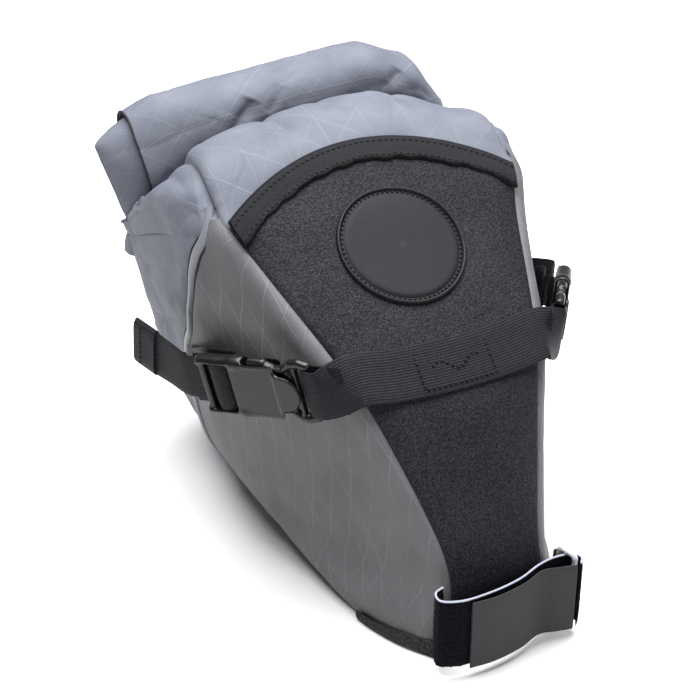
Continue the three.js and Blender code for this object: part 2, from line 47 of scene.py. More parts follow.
FABRIC = 0.9  # thickness of the laminates
WEBBING_WIDTH = 25
WEBBING = 1.5  # thickness of the webbing
FACE_STRAP_AT = 4.0  # where the cross strap's middle lies, in rows of SECTIONS
PATCH_RADIUS = 32
PATCH_CENTRE = 5.0  # in rows of SECTIONS
PATCH_RIM = 3.6  # width of the raised rim
STRAP_WIDTH = 38
STRAP_MIDDLE = 24  # height of the seatpost strap's middle
RING_WIRE = 1.45  # radius of the ring's wire
CORNER = 6  # row of SECTIONS at the ends of the arched edge
APEX = 6.82  # the same at its middle
FLOOR_DEPTH = 0.4  # the paper lies a little under the bag

# Cross-sections from the nose to the neck: y and z of the front line, y and z of the back line, half width
# of the face panel, half width of the bag, share of the depth where it is widest, flare of the sides,
# squareness of the back, bulge of the face, and how far the sides drop.
SECTIONS = np.array([
    [-47, 0, 188, 0, 28, 51, 0.55, 5, 3.6, 1, 0],
    [-48.5, 28, 200, 24, 25, 70, 0.54, 1.7, 3.6, 1, 0],
    [-42, 53, 206, 46, 25.5, 79, 0.55, 1.4, 3.8, 2, 0],
    [-23, 92, 209, 74, 36.5, 85, 0.54, 1.5, 4.2, 5, 0],
    [0, 126, 213, 98, 49, 88, 0.5, 1.9, 5, 7, 4],
    [53, 161, 216, 116, 67, 91, 0.32, 2, 5.5, 4, 8],
    [80, 178, 216, 130, 76, 92, 0.22, 2, 6, 1, 13],
    [112, 197, 213, 144, 76, 91, 0.22, 2, 6, 0, 21],
    [150, 199, 207, 156, 72, 88, 0.35, 2, 4, 0, 34],
    [178, 174, 201, 165, 72, 87, 0.5, 2, 3, 0, 48],
], dtype=float)
NECK = len(SECTIONS) - 1

# The seam behind each side panel: places up the bag and round it, the last one on the collar.
SIDE_SEAM = np.array([[0, 1.6], [1.5, 1.58], [3, 1.53], [4, 1.5], [4.5, 1.47], [5, 1.385], [5.5, 1.28],
                      [6, 1.12], [6.4, 1.02]])

# The rolled closure: x, height of its middle, half its height and half its depth.
ROLL_Y = 190
ROLL_LEAN = 0.3
ROLL_SECTIONS = np.array([
    [-103, 158, 28, 14],
    [-68, 179, 23, 17],
    [-30, 189, 17, 18],
    [12, 195, 15, 18],
    [48, 197.5, 15, 17],
    [74, 190, 13, 16],
    [98, 165, 9, 12],
], dtype=float)

# The left buckle: its length, its ends, and the way its top edge faces; the right one mirrors it.
BUCKLE_LENGTH = 62
BUCKLE_START = np.array([-62.8, 12.8, 120.8])
BUCKLE_END = np.array([-97.5, 61, 109])
BUCKLE_TOP = np.array([-0.25, 0.2, 0.94])

# The camera, in metres: its place, and its right, up and back axes.
CAMERA_LENS = 81.94
CAMERA_PLACE = (-0.316245, -0.538615, 0.499996)
CAMERA_AXES = ((0.89748, -0.44104, -0.003), (0.22601, 0.45406, 0.86183), (-0.37874, -0.77415, 0.50719))

# ---------------------------------------------------------------- vector helpers


def unit(a):
    """Vectors scaled to length 1."""
    return a / np.maximum(np.linalg.norm(a, axis=-1, keepdims=True), 1e-12)


def mix(a, b, t):
    """a where t is 0, b where t is 1."""
    return a + (b - a) * t


def smooth(t):
    """0 to 1 with flat ends, as t goes from 0 to 1."""
    c = np.clip(t, 0, 1)
    return c * c * (3 - 2 * c)


class Noise:
    """Smooth gradient noise on points, the same each run."""

    def __init__(self, seed):
        rng = np.random.default_rng(seed)
        self.order = rng.permutation(256)
        self.slopes = unit(rng.normal(size=(256, 3)))

    def __call__(self, points, size):
        p = np.asarray(points, float) / size
        cell = np.floor(p).astype(int)
        part = p - cell
        fade = part ** 3 * (part * (part * 6 - 15) + 10)
        total = np.zeros(p.shape[:-1])
        for corner in np.ndindex(2, 2, 2):
            c = np.array(corner)
            k = cell + c
            h = self.order[(k[..., 0] + self.order[(k[..., 1] + self.order[k[..., 2] % 256]) % 256]) % 256]
            weight = np.prod(np.where(c == 1, fade, 1 - fade), axis=-1)
            total += weight * np.sum(self.slopes[h] * (part - c), axis=-1)
        return total


def lattice(rows, cols, low=0.0, high=1.0, open_end=False):
    """Two arrays: i from 0 to 1 down the rows and j from low to high along the columns."""
    down, along = np.linspace(0, 1, rows), np.linspace(low, high, cols, endpoint=not open_end)
    return np.meshgrid(down, along, indexing="ij")


def running_length(line):
    """Distance along a line at each of its points."""
    return np.concatenate([[0], np.cumsum(np.linalg.norm(np.diff(line, axis=0), axis=1))])


def spline(points, count):
    """Centripetal Catmull-Rom through points, as count evenly spaced points."""
    p = np.asarray(points, float)
    p = np.vstack([2 * p[0] - p[1], p, 2 * p[-1] - p[-2]])
    knots = np.concatenate([[0], np.cumsum(np.linalg.norm(np.diff(p, axis=0), axis=1) ** 0.5)])

    def between(a, b, start, end, t):
        return (end - t) / (end - start) * a + (t - start) / (end - start) * b

    dense = []
    for i in range(1, len(p) - 2):
        t = np.linspace(knots[i], knots[i + 1], 24, endpoint=False)[:, None]
        k = knots[i - 1:i + 3]
        thirds = [between(p[i - 1 + m], p[i + m], k[m], k[m + 1], t) for m in range(3)]
        halves = [between(thirds[m], thirds[m + 1], k[m], k[m + 2], t) for m in range(2)]
        dense.append(between(*halves, k[1], k[2], t))
    return evenly(np.vstack(dense + [p[-2:-1]]), count)


def evenly(line, count):
    """The same line as count points at equal distances."""
    along = running_length(line)
    at = np.linspace(0, along[-1], count)
    return np.stack([np.interp(at, along, line[:, k]) for k in range(line.shape[1])], axis=1)


def line_length(line):
    return float(np.sum(np.linalg.norm(np.diff(line, axis=0), axis=1)))


def crease(points, line, width, depth):
    """A fold pressed in by depth along a line, sharp at its bottom and fading to both ends."""
    line = np.asarray(line, float)
    best = np.full(points.shape[:-1], 1e9)
    where = np.zeros(points.shape[:-1])
    total = line_length(line)
    start = 0.0
    for a, b in zip(line[:-1], line[1:]):
        ab = b - a
        t = np.clip(((points - a) @ ab) / (ab @ ab), 0, 1)
        gap = np.linalg.norm(points - (a + t[..., None] * ab), axis=-1)
        along = (start + t * np.linalg.norm(ab)) / total
        where = np.where(gap < best, along, where)
        best = np.minimum(best, gap)
        start += np.linalg.norm(ab)
    ends = np.sin(np.clip(where, 0, 1) * math.pi) ** 0.5
    return -depth * np.exp(-(best / width) ** 1.4) * ends


# ---------------------------------------------------------------- the bag's surface


def sections(v):
    """Values of SECTIONS at v, smoothly between the rows."""
    v = np.asarray(v, float)
    i = np.clip(np.floor(v).astype(int), 0, NECK - 1)
    t = (v - i)[..., None]
    a, b, c, d = (SECTIONS[np.clip(i + k, 0, NECK)] for k in (-1, 0, 1, 2))
    return 0.5 * (2 * b + (c - a) * t + (2 * a - 5 * b + 4 * c - d) * t ** 2
                  + (3 * b - a - 3 * c + d) * t ** 3)


def body(q, v):
    """Point of the bag at q round it (0 middle of the face, 1 its edge, 2 middle of the back) and v up it."""
    q, v = np.broadcast_arrays(np.asarray(q, float), np.asarray(v, float))
    fy, fz, by, bz, face, half, at, flare, square, crown, droop = np.moveaxis(sections(v), -1, 0)
    depth = np.hypot(by - fy, bz - fz)
    widest = np.maximum(depth * at, crown + 2)
    a = np.abs(q)
    t = np.clip((a - 1) * 2, 0, 1)
    angle = smooth((a - 1.5) * 2) * math.pi / 2
    cos = np.clip(np.cos(angle), 0, 1)
    x_side = face + (half - face) * (1 - (1 - t) ** flare)
    x_back = half * cos ** (2 / square)
    d_back = widest + (depth - widest) * np.sin(angle) ** (2 / square)
    x = np.where(a <= 1, face * a, np.where(a <= 1.5, x_side, x_back))
    d = np.where(a <= 1, crown * a * a, np.where(a <= 1.5, crown + (widest - crown) * t, d_back))
    share = smooth((v - CORNER - 0.5) / 2)
    drop = droop * (x / 90) ** 2 * mix(d / depth, 1, share)
    y = fy + (by - fy) * d / depth
    z = fz + (bz - fz) * d / depth - drop
    return np.stack([np.sign(q) * x, y, z], axis=-1)


def body_normal(q, v):
    """Outward direction of the bag's surface."""
    q, v = np.broadcast_arrays(np.asarray(q, float), np.asarray(v, float))
    step = 0.015
    low = np.clip(v - step, 0, NECK)
    high = np.clip(v + step, 0, NECK)
    along_v = body(q, high) - body(q, low)
    inside = np.abs(q) <= 1
    q_low = np.where(inside, np.maximum(q - step, -1), np.sign(q) * np.maximum(np.abs(q - step), 1))
    q_high = np.where(inside, np.minimum(q + step, 1), np.sign(q) * np.maximum(np.abs(q + step), 1))
    return unit(np.cross(body(q_high, v) - body(q_low, v), along_v))


def side_seam(v):
    """How far round the bag the side panel ends, at v."""
    return np.interp(v, SIDE_SEAM[:, 0], SIDE_SEAM[:, 1])


def arch_top(q):
    """Row of the arched edge over the face."""
    return APEX - (APEX - CORNER) * q * q


def face_half(v):
    """Half width of the face panel."""
    return sections(v)[..., 4]


STEPS_V = np.linspace(0, NECK, 2001)
CLIMBED = running_length(body(0, STEPS_V))


def rise_of(v):
    """Length up the middle of the face from the ground to v."""
    return np.interp(v, STEPS_V, CLIMBED)


def v_of(rise):
    """The row of SECTIONS at a length up the face."""
    return np.interp(rise, CLIMBED, STEPS_V)


def face_shape(x, v):
    """How far the padded face stands out: full above the patch, pulled in along the webbing."""
    edge = np.clip(face_half(v) - np.abs(x), 0, None)
    swell = 1.6 * smooth((v - 4.6) / 1.2) * smooth((6.9 - v) / 1.2) - 1.9 * np.exp(-((v - 4.25) / 0.5) ** 2)
    return swell * smooth(edge / 16)


def on_face(x, rise, lift):
    """Point of the face at x across and rise up it, lifted off its cloth, with its normal."""
    v = v_of(rise)
    q = np.clip(x / face_half(v), -0.999, 0.999)
    normal = body_normal(np.clip(q, -0.98, 0.98), v)
    return body(q, v) + normal * np.asarray(lift + face_shape(x, v))[..., None], normal


# ---------------------------------------------------------------- meshes


def grid_normals(p, loop=False):
    """Normals of a grid of points; a loop's last column meets its first."""
    if loop:
        across = np.roll(p, -1, axis=1) - np.roll(p, 1, axis=1)
    else:
        across = np.gradient(p, axis=1)
    return unit(np.cross(across, np.gradient(p, axis=0)))


def grid_uv(p):
    """Distances in 0.1 m across and up a grid, from its middle column and first row."""
    wide = np.linalg.norm(np.diff(p, axis=1), axis=-1)
    high = np.linalg.norm(np.diff(p, axis=0), axis=-1)
    u = np.concatenate([np.zeros((p.shape[0], 1)), np.cumsum(wide, axis=1)], axis=1)
    u -= u[:, p.shape[1] // 2][:, None]
    v = np.concatenate([np.zeros((1, p.shape[1])), np.cumsum(high, axis=0)], axis=0)
    v = np.broadcast_to(v.mean(axis=1, keepdims=True), v.shape) * 0.6 + v * 0.4
    return np.stack([u, v], axis=-1) / 100


def mesh_object(name, points, faces, uv=None, sharp=40):
    """A smooth-shaded mesh from millimetre points, with an optional uv for each point."""
    mesh = bpy.data.meshes.new(name)
    faces = faces.tolist() if isinstance(faces, np.ndarray) else faces
    mesh.from_pydata((np.asarray(points) * MM).tolist(), [], faces)
    mesh.update()
    if uv is not None:
        layer = mesh.uv_layers.new(name="cloth")
        index = np.empty(len(mesh.loops), int)
        mesh.loops.foreach_get("vertex_index", index)
        layer.data.foreach_set("uv", np.asarray(uv)[index].ravel())
    mesh.polygons.foreach_set("use_smooth", [True] * len(mesh.polygons))
    mesh.set_sharp_from_angle(angle=math.radians(sharp))
    ob = bpy.data.objects.new(name, mesh)
    bpy.context.scene.collection.objects.link(ob)
    return ob


def slab_faces(rows, cols, loop):
    """Faces of a closed thin solid whose outer points come first and whose inner points follow."""
    count = rows * cols
    i, j = np.meshgrid(np.arange(rows - 1), np.arange(cols if loop else cols - 1), indexing="ij")
    k = (j + 1) % cols
    a, b, c, d = (x.ravel() for x in (i * cols + j, i * cols + k, (i + 1) * cols + k, (i + 1) * cols + j))
    faces = [np.stack([a, b, c, d], axis=1), np.stack([a, d, c, b], axis=1) + count]
    j = np.arange(cols if loop else cols - 1)
    k = (j + 1) % cols
    last = (rows - 1) * cols
    faces.append(np.stack([j, j + count, k + count, k], axis=1))
    faces.append(np.stack([last + j, last + k, last + k + count, last + j + count], axis=1))
    if not loop:
        i = np.arange(rows - 1) * cols
        faces.append(np.stack([i, i + cols, i + cols + count, i + count], axis=1))
        i = i + cols - 1
        faces.append(np.stack([i, i + count, i + cols + count, i + cols], axis=1))
    return np.concatenate(faces)


def closed_sheet(name, outer, inner, uv, loop, sharp):
    """A thin solid between two grids of points."""
    rows, cols = outer.shape[:2]
    points = np.concatenate([outer.reshape(-1, 3), inner.reshape(-1, 3)])
    both = np.concatenate([uv.reshape(-1, 2)] * 2)
    return mesh_object(name, points, slab_faces(rows, cols, loop), both, sharp)


def slab(name, outer, thickness, loop=False, uv=None, sharp=50):
    """A closed sheet whose outer side is a grid of points."""
    inner = outer - grid_normals(outer, loop) * thickness
    return closed_sheet(name, outer, inner, grid_uv(outer) if uv is None else uv, loop, sharp)


def ribbon(name, line, ups, width, thickness, cols=12, rows=None):
    """Flat webbing along a line; ups are its width directions, at each point or evenly from end to end."""
    line = np.asarray(line, float)
    rows = rows or max(8, int(line_length(line) / 1.5))
    path = spline(line, rows)
    key = np.linspace(0, 1, len(ups))
    if len(ups) == len(line):
        key = running_length(line)
        key /= key[-1]
    where = np.linspace(0, 1, rows)
    up = np.stack([np.interp(where, key, np.asarray(ups, float)[:, k]) for k in range(3)], axis=1)
    along = unit(np.gradient(path, axis=0))
    up = unit(up - np.sum(up * along, axis=1, keepdims=True) * along)
    normal = np.cross(along, up)
    s = np.linspace(-1, 1, cols + 1)
    half = thickness / 2 * np.clip(1 - np.abs(s) ** 10, 0.25, 1)
    centre = path[:, None, :] + up[:, None, :] * (s * width / 2)[None, :, None]
    outer = centre + normal[:, None, :] * half[None, :, None]
    inner = centre - normal[:, None, :] * half[None, :, None]
    uv = np.stack(np.broadcast_arrays(s[None, :] * width / 200, running_length(path)[:, None] / 100), axis=-1)
    return closed_sheet(name, outer, inner, uv, False, 60)


def tube(name, line, radius, sides=10, rows=None, closed=False):
    """A round cord or wire along a line of points."""
    line = np.asarray(line, float)
    rows = rows or max(6, int(line_length(line) / 1.2))
    path = evenly(line, rows)
    along = unit(np.roll(path, -1, 0) - np.roll(path, 1, 0)) if closed else unit(np.gradient(path, axis=0))
    side = unit(np.cross(along, [0.31, 0.17, 0.93]))
    other = np.cross(along, side)
    angle = np.linspace(0, 2 * math.pi, sides, endpoint=False)
    radius = np.broadcast_to(np.asarray(radius, float), (rows,))
    ring = (side[:, None] * np.cos(angle)[None, :, None] + other[:, None] * np.sin(angle)[None, :, None])
    points = (path[:, None] + ring * radius[:, None, None]).reshape(-1, 3)
    i, j = np.meshgrid(np.arange(rows - (0 if closed else 1)), np.arange(sides), indexing="ij")
    k, n = (j + 1) % sides, (i + 1) % rows
    corners = (i * sides + j, n * sides + j, n * sides + k, i * sides + k)
    faces = np.stack([corner.ravel() for corner in corners], axis=1).tolist()
    if not closed:
        faces.append(list(range(sides)))
        faces.append(list(range((rows - 1) * sides, rows * sides))[::-1])
    return mesh_object(name, points, faces, None, 50)


def stitch_points(line, normals, pitch, length, radius, rise):
    """Points and faces of a row of stitches: short threads that dip into the cloth at both ends."""
    count = max(2, int(line_length(line) / pitch))
    dense = evenly(np.hstack([line, normals]), count * 8 + 1)
    path, up = dense[:, :3], unit(dense[:, 3:])
    sides, rings = 6, 5
    turn = np.linspace(0, 2 * math.pi, sides, endpoint=False)
    points, faces = [], []
    for s in range(count):
        at = s * 8 + 4
        ahead = unit(path[min(at + 2, len(path) - 1)] - path[at - 2])
        across = np.cross(ahead, up[at])
        base = s * sides * rings
        for r in range(rings):
            t = (r / (rings - 1)) * 2 - 1
            centre = path[at] + ahead * t * length / 2 + up[at] * (rise * (1 - t * t) - 0.15)
            wide = radius * math.sqrt(max(0.12, 1 - t * t * 0.9))
            points.append(centre + wide * (np.cos(turn)[:, None] * across + np.sin(turn)[:, None] * up[at]))
        for r in range(rings - 1):
            for k in range(sides):
                a = base + r * sides + k
                b = base + r * sides + (k + 1) % sides
                faces.append([a, b, b + sides, a + sides])
        faces.append([base + k for k in range(sides)][::-1])
        faces.append([base + (rings - 1) * sides + k for k in range(sides)])
    return np.concatenate(points), faces


def stitch_rows(name, rows, pitch, length, radius, rise=0.25):
    """One object holding every row of stitches; each row is a line and its normals."""
    points, faces, offset = [], [], 0
    for line, normals in rows:
        p, f = stitch_points(line, normals, pitch, length, radius, rise)
        points.append(p)
        faces += [[offset + k for k in face] for face in f]
        offset += len(p)
    return mesh_object(name, np.concatenate(points), faces, None, 60)


# ---------------------------------------------------------------- materials


def new_material(name, colour, roughness, specular):
    """A principled material and its shader."""
    material = bpy.data.materials.new(name)
    material.use_nodes = True
    shader = material.node_tree.nodes["Principled BSDF"]
    shader.inputs["Base Color"].default_value = (*colour, 1)
    shader.inputs["Roughness"].default_value = roughness
    shader.inputs["Specular IOR Level"].default_value = specular
    return material, shader


class Nodes:
    """Short names for the nodes that the materials are made of."""

    def __init__(self, material):
        self.tree = material.node_tree

    def make(self, kind, **values):
        node = self.tree.nodes.new(kind)
        for key, value in values.items():
            setattr(node, key, value)
        return node

    def link(self, source, target):
        self.tree.links.new(source, target)

    def math(self, operation, *values):
        """values: numbers or the outputs of other nodes."""
        node = self.make("ShaderNodeMath", operation=operation)
        for k, value in enumerate(values):
            if hasattr(value, "is_linked"):
                self.link(value, node.inputs[k])
            else:
                node.inputs[k].default_value = value
        return node.outputs[0]

    def place(self):
        return self.make("ShaderNodeTexCoord").outputs["Object"]

    def cloth_uv(self):
        """Millimetres across and along the cloth."""
        uv = self.make("ShaderNodeUVMap", uv_map="cloth")
        split = self.make("ShaderNodeSeparateXYZ")
        self.link(uv.outputs["UV"], split.inputs[0])
        return self.math("MULTIPLY", split.outputs[0], 100), self.math("MULTIPLY", split.outputs[1], 100)

    def noise(self, scale, detail=2, roughness=0.5):
        node = self.make("ShaderNodeTexNoise")
        node.inputs["Scale"].default_value = scale
        node.inputs["Detail"].default_value = detail
        node.inputs["Roughness"].default_value = roughness
        self.link(self.place(), node.inputs["Vector"])
        return node.outputs["Fac"]

    def cells(self, scale):
        node = self.make("ShaderNodeTexVoronoi", feature="F1")
        node.inputs["Scale"].default_value = scale
        self.link(self.place(), node.inputs["Vector"])
        return node.outputs["Distance"]

    def ramp(self, value, low, high, to_low=0.0, to_high=1.0):
        node = self.make("ShaderNodeMapRange")
        self.link(value, node.inputs["Value"])
        for key, number in (("From Min", low), ("From Max", high), ("To Min", to_low), ("To Max", to_high)):
            node.inputs[key].default_value = number
        return node.outputs["Result"]

    def blend(self, factor, low, high):
        """low where factor is 0, high where it is 1; low can be another blend."""
        node = self.make("ShaderNodeMix", data_type="RGBA")
        self.link(factor, node.inputs["Factor"])
        if isinstance(low, tuple):
            node.inputs["A"].default_value = (*low, 1)
        else:
            self.link(low, node.inputs["A"])
        node.inputs["B"].default_value = (*high, 1)
        return node.outputs["Result"]

    def colour(self, shader, factor, dark, light):
        """Gives the shader a colour between dark and light."""
        self.link(self.blend(factor, dark, light), shader.inputs["Base Color"])

    def bump(self, shader, layers):
        """layers: height output, its strength and its depth in millimetres, from the coarsest."""
        last = None
        for height, strength, depth in layers:
            node = self.make("ShaderNodeBump")
            node.inputs["Strength"].default_value = strength
            node.inputs["Distance"].default_value = depth * MM
            self.link(height, node.inputs["Height"])
            if last is not None:
                self.link(last, node.inputs["Normal"])
            last = node.outputs["Normal"]
        self.link(last, shader.inputs["Normal"])


def yarn_lines(nodes, families, width):
    """1 on the yarns of a laminate, 0 between them; each family has an angle, a spacing and a strength."""
    u, v = nodes.cloth_uv()
    total = None
    for angle, spacing, strength in families:
        turn = math.radians(angle)
        slanted = nodes.math("ADD", nodes.math("MULTIPLY", u, math.cos(turn)),
                             nodes.math("MULTIPLY", v, math.sin(turn)))
        gap = nodes.math("ABSOLUTE", nodes.math("SUBTRACT", nodes.math("FRACT", nodes.math(
            "DIVIDE", slanted, spacing)), 0.5))
        line = nodes.ramp(nodes.math("MULTIPLY", gap, spacing), width * 0.3, width, strength, 0)
        total = line if total is None else nodes.math("MAXIMUM", total, line)
    return total


def laminate(name, dark, light, yarn, roughness, families, shine=0.5, width=0.42):
    """Ripstop laminate: a fine weave under film, with raised yarns that cross in diamonds."""
    material, shader = new_material(name, light, roughness, shine)
    nodes = Nodes(material)
    lines = yarn_lines(nodes, families, width)
    fade = nodes.ramp(nodes.noise(30, 2), 0.35, 0.62, 0.35, 1)
    shown = nodes.math("MULTIPLY", lines, fade)
    cloud = nodes.ramp(nodes.noise(45, 5, 0.6), 0.3, 0.7)
    nodes.colour(shader, nodes.math("MULTIPLY", shown, 0.3), nodes.blend(cloud, dark, light), yarn)
    rough = nodes.ramp(nodes.noise(90, 3), 0.3, 0.7, roughness - 0.03, roughness + 0.03)
    nodes.link(rough, shader.inputs["Roughness"])
    nodes.bump(shader, [
        (nodes.noise(70, 4, 0.55), 0.4, 1.3),
        (nodes.noise(1500, 1), 0.25, 0.08),
        (lines, 0.7, 0.2),
    ])
    return material


def grained(name, dark, light, grain_mm, roughness):
    """Rubberised cloth with a fine pebble grain; its colour is lighter and bluer on the raised grain, painted
    highlights over its own random tone.
    """
    material, shader = new_material(name, dark, roughness, 0.18)
    nodes = Nodes(material)
    grain = nodes.noise(1000 / grain_mm, 2, 0.55)
    pebble = nodes.cells(1400 / grain_mm)
    patchy = nodes.ramp(nodes.noise(30, 3), 0.3, 0.7, -0.06, 0.06)
    grain_tone_and_highlight = nodes.math("ADD", nodes.math("ADD", grain, nodes.math("MULTIPLY", pebble, -0.2)), patchy)
    # Painted highlights: the colour lightens where the grain stands up, as the bump does, over a random
    # patchy tone.
    nodes.colour(shader, nodes.ramp(grain_tone_and_highlight, 0.28, 0.62), dark, light)
    nodes.link(nodes.ramp(grain, 0.3, 0.7, roughness + 0.1, roughness - 0.12), shader.inputs["Roughness"])
    nodes.bump(shader, [
        (nodes.noise(60, 2), 0.3, 1.2),
        (grain, 1.0, 0.5),
        (pebble, 0.5, -0.25),
    ])
    return material


def ribbed(name, dark, light, pitch_across, pitch_along, depth, roughness=0.62):
    """Woven tape: rows along it and picks across it, its colour darker in the grooves and lighter on the
    ridges, painted shade and light over a random tone.
    """
    material, shader = new_material(name, dark, roughness, 0.14)
    nodes = Nodes(material)
    u, v = nodes.cloth_uv()
    row = nodes.math("DIVIDE", u, pitch_across)
    odd = nodes.math("MULTIPLY", nodes.math("FLOOR", row), 0.5)
    ridge = nodes.math("ABSOLUTE", nodes.math("SINE", nodes.math("MULTIPLY", row, math.pi)))
    pick_at = nodes.math("ADD", nodes.math("DIVIDE", v, pitch_along), odd)
    pick = nodes.math("ABSOLUTE", nodes.math("SINE", nodes.math("MULTIPLY", pick_at, math.pi)))
    height = nodes.math("MULTIPLY", nodes.math("POWER", ridge, 0.6), nodes.math("ADD", pick, 0.35))
    # Painted shade and light: the colour follows the weave's height, dark in its grooves and light on its
    # ridges, times a random tone.
    tone = nodes.math("MULTIPLY", height, nodes.ramp(nodes.noise(500, 2), 0.25, 0.75, 0.6, 1.1))
    nodes.colour(shader, nodes.ramp(tone, 0.1, 1.1), dark, light)
    nodes.bump(shader, [(height, 0.85, depth)])
    return material


def plastic(name, colour, roughness):
    """Moulded plastic with a faint sparked surface."""
    material, shader = new_material(name, colour, roughness, 0.32)
    nodes = Nodes(material)
    nodes.link(nodes.ramp(nodes.noise(300, 3), 0.3, 0.7, roughness - 0.06, roughness + 0.08),
               shader.inputs["Roughness"])
    nodes.colour(shader, nodes.ramp(nodes.noise(120, 3), 0.35, 0.65), colour, tuple(c * 1.25 for c in colour))
    nodes.bump(shader, [(nodes.noise(1800, 2), 0.4, 0.03)])
    return material


def pile(name, dark, light):
    """Loop pile of a hook-and-loop strap, its colour lighter where the fluff stands up and darker between,
    painted light and shade with the fibres' random tone.
    """
    material, shader = new_material(name, dark, 0.95, 0.02)
    nodes = Nodes(material)
    fluff = nodes.noise(900, 4, 0.7)
    # Painted light and shade: the colour follows the fluff's height, the same noise that drives the bump.
    nodes.colour(shader, nodes.ramp(fluff, 0.35, 0.68), dark, light)
    shader.inputs["Sheen Weight"].default_value = 0.05
    shader.inputs["Sheen Roughness"].default_value = 0.5
    nodes.bump(shader, [(fluff, 1.0, 0.8), (nodes.noise(2600, 2), 0.8, 0.25)])
    return material


def smooth_rubber(name, colour, roughness):
    """Moulded rubber with a very fine grain."""
    material, shader = new_material(name, colour, roughness, 0.2)
    nodes = Nodes(material)
    tone = nodes.ramp(nodes.noise(260, 4, 0.6), 0.3, 0.7)
    nodes.colour(shader, tone, tuple(c * 0.88 for c in colour), tuple(c * 1.12 for c in colour))
    nodes.bump(shader, [(nodes.noise(2000, 3), 0.6, 0.06), (nodes.noise(90, 2), 0.3, 0.5)])
    return material


def thread(name, colour):
    """Sewing thread; the same look also serves the cords of painted seam shade, the dark roll-edge cord and
    the painted strap-edge highlight.
    """
    material, shader = new_material(name, colour, 0.7, 0.3)
    nodes = Nodes(material)
    nodes.colour(shader, nodes.noise(2500, 1), tuple(c * 0.6 for c in colour), tuple(c * 1.5 for c in colour))
    nodes.bump(shader, [(nodes.noise(3000, 1), 0.7, 0.1)])
    return material


def clear_plastic(name):
    """Scuffed clear plastic."""
    material, shader = new_material(name, (0.62, 0.65, 0.7), 0.18, 0.5)
    nodes = Nodes(material)
    shader.inputs["Transmission Weight"].default_value = 0.55
    shader.inputs["IOR"].default_value = 1.46
    nodes.bump(shader, [(nodes.noise(160, 2), 0.3, 0.3)])
    nodes.link(nodes.ramp(nodes.noise(200, 2), 0.3, 0.7, 0.12, 0.3), shader.inputs["Roughness"])
    return material


# Yarns of the laminate as it was cut: angle in degrees, spacing in millimetres and strength.
STRAIGHT_CUT = ((0, 23, 0.5), (44, 17, 0.6), (-44, 17, 0.35))
DIAGONAL_CUT = ((19, 10.8, 1), (-19, 10.8, 1))
BLUE_GREY = laminate("blue_grey_laminate", (0.096, 0.103, 0.128), (0.127, 0.136, 0.166), (0.32, 0.33, 0.37),
                     0.62, STRAIGHT_CUT, 0.16)
GREY = laminate("grey_laminate", (0.082, 0.083, 0.087), (0.105, 0.106, 0.112), (0.24, 0.245, 0.255),
                0.52, DIAGONAL_CUT, 0.2)
# The blue-grey laminate made lighter: a painted highlight on the raised seam fold.
SEAM_HIGHLIGHT_LAMINATE = laminate("light_seam_laminate", (0.13, 0.135, 0.155), (0.17, 0.175, 0.2), (0.3, 0.31, 0.34),
                     0.45, STRAIGHT_CUT)
FACE = grained("grained_face_fabric", (0.003, 0.003, 0.0045), (0.021, 0.021, 0.029), 0.95, 0.75)
NOSE = grained("nose_rubber", (0.010, 0.010, 0.011), (0.034, 0.034, 0.036), 1.3, 0.7)
BINDING = ribbed("binding_grosgrain", (0.001, 0.001, 0.0015), (0.01, 0.0105, 0.0145), 12.8, 0.85, 0.25)
NYLON = ribbed("nylon_webbing", (0.002, 0.002, 0.003), (0.0145, 0.015, 0.0195), 1.3, 0.85, 0.25, 0.55)
BACKING = ribbed("strap_backing", (0.02, 0.0195, 0.021), (0.043, 0.042, 0.045), 0.6, 0.5, 0.1, 0.62)
PLASTIC = plastic("buckle_plastic", (0.004, 0.004, 0.0048), 0.33)
PATCH = smooth_rubber("patch_rubber", (0.0068, 0.0068, 0.0098), 0.66)
RIM = smooth_rubber("patch_rim_rubber", (0.006, 0.006, 0.008), 0.5)
PILE = pile("loop_pile", (0.0005, 0.0005, 0.0015), (0.005, 0.005, 0.01))
HOOKS = pile("hook_tape", (0.008, 0.008, 0.01), (0.03, 0.03, 0.034))
THREAD = thread("black_thread", (0.0015, 0.0015, 0.002))
# Painted shade: dark cords laid in the seam grooves stand in for the shade there; the same dark also colours
# the cord along the roll's edge.
SEAM_SHADE_AND_EDGE_DARK = thread("seam_shadow_thread", (0.01, 0.01, 0.014))
# Painted highlight: a pale bluish cord along the strap's top edge stands in for the light that edge catches.
PAINTED_EDGE_HIGHLIGHT = thread("strap_edge_painted_highlight", (0.30, 0.31, 0.38))
CLEAR = clear_plastic("clear_plastic")
SHEET = plastic("stiffener_sheet", (0.12, 0.12, 0.12), 0.5)


def finish_piece(ob, material, node=None, body_name="root"):
    """Gives a piece its material, the body it moves with and the node it stands for."""
    ob.data.materials.clear()
    ob.data.materials.append(material)
    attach(ob, body_name)
    if node:
        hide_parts(node)


# ---------------------------------------------------------------- camera, floor, light


def add_camera():
    """The camera of the main view."""
    camera = bpy.data.cameras.new("camera")
    camera.sensor_width = 36
    camera.lens = CAMERA_LENS
    camera.clip_start = 0.05
    camera.clip_end = 50
    ob = bpy.data.objects.new("camera", camera)
    matrix = Matrix.Identity(4)
    for k, axis in enumerate(CAMERA_AXES):
        for row in range(3):
            matrix[row][k] = axis[row]
    matrix.translation = Vector(CAMERA_PLACE)
    ob.matrix_world = matrix
    bpy.context.scene.collection.objects.link(ob)
    bpy.context.scene.camera = ob


def add_area(name, place, target, size, power, colour=(1, 1, 1)):
    """A soft lamp at a place, turned to its target."""
    light = bpy.data.lights.new(name, "AREA")
    light.shape = "RECTANGLE"
    light.size, light.size_y = size
    light.energy = power
    light.color = colour
    ob = bpy.data.objects.new(name, light)
    ob.location = place
    ob.rotation_euler = (Vector(target) - Vector(place)).to_track_quat("-Z", "Y").to_euler()
    bpy.context.scene.collection.objects.link(ob)


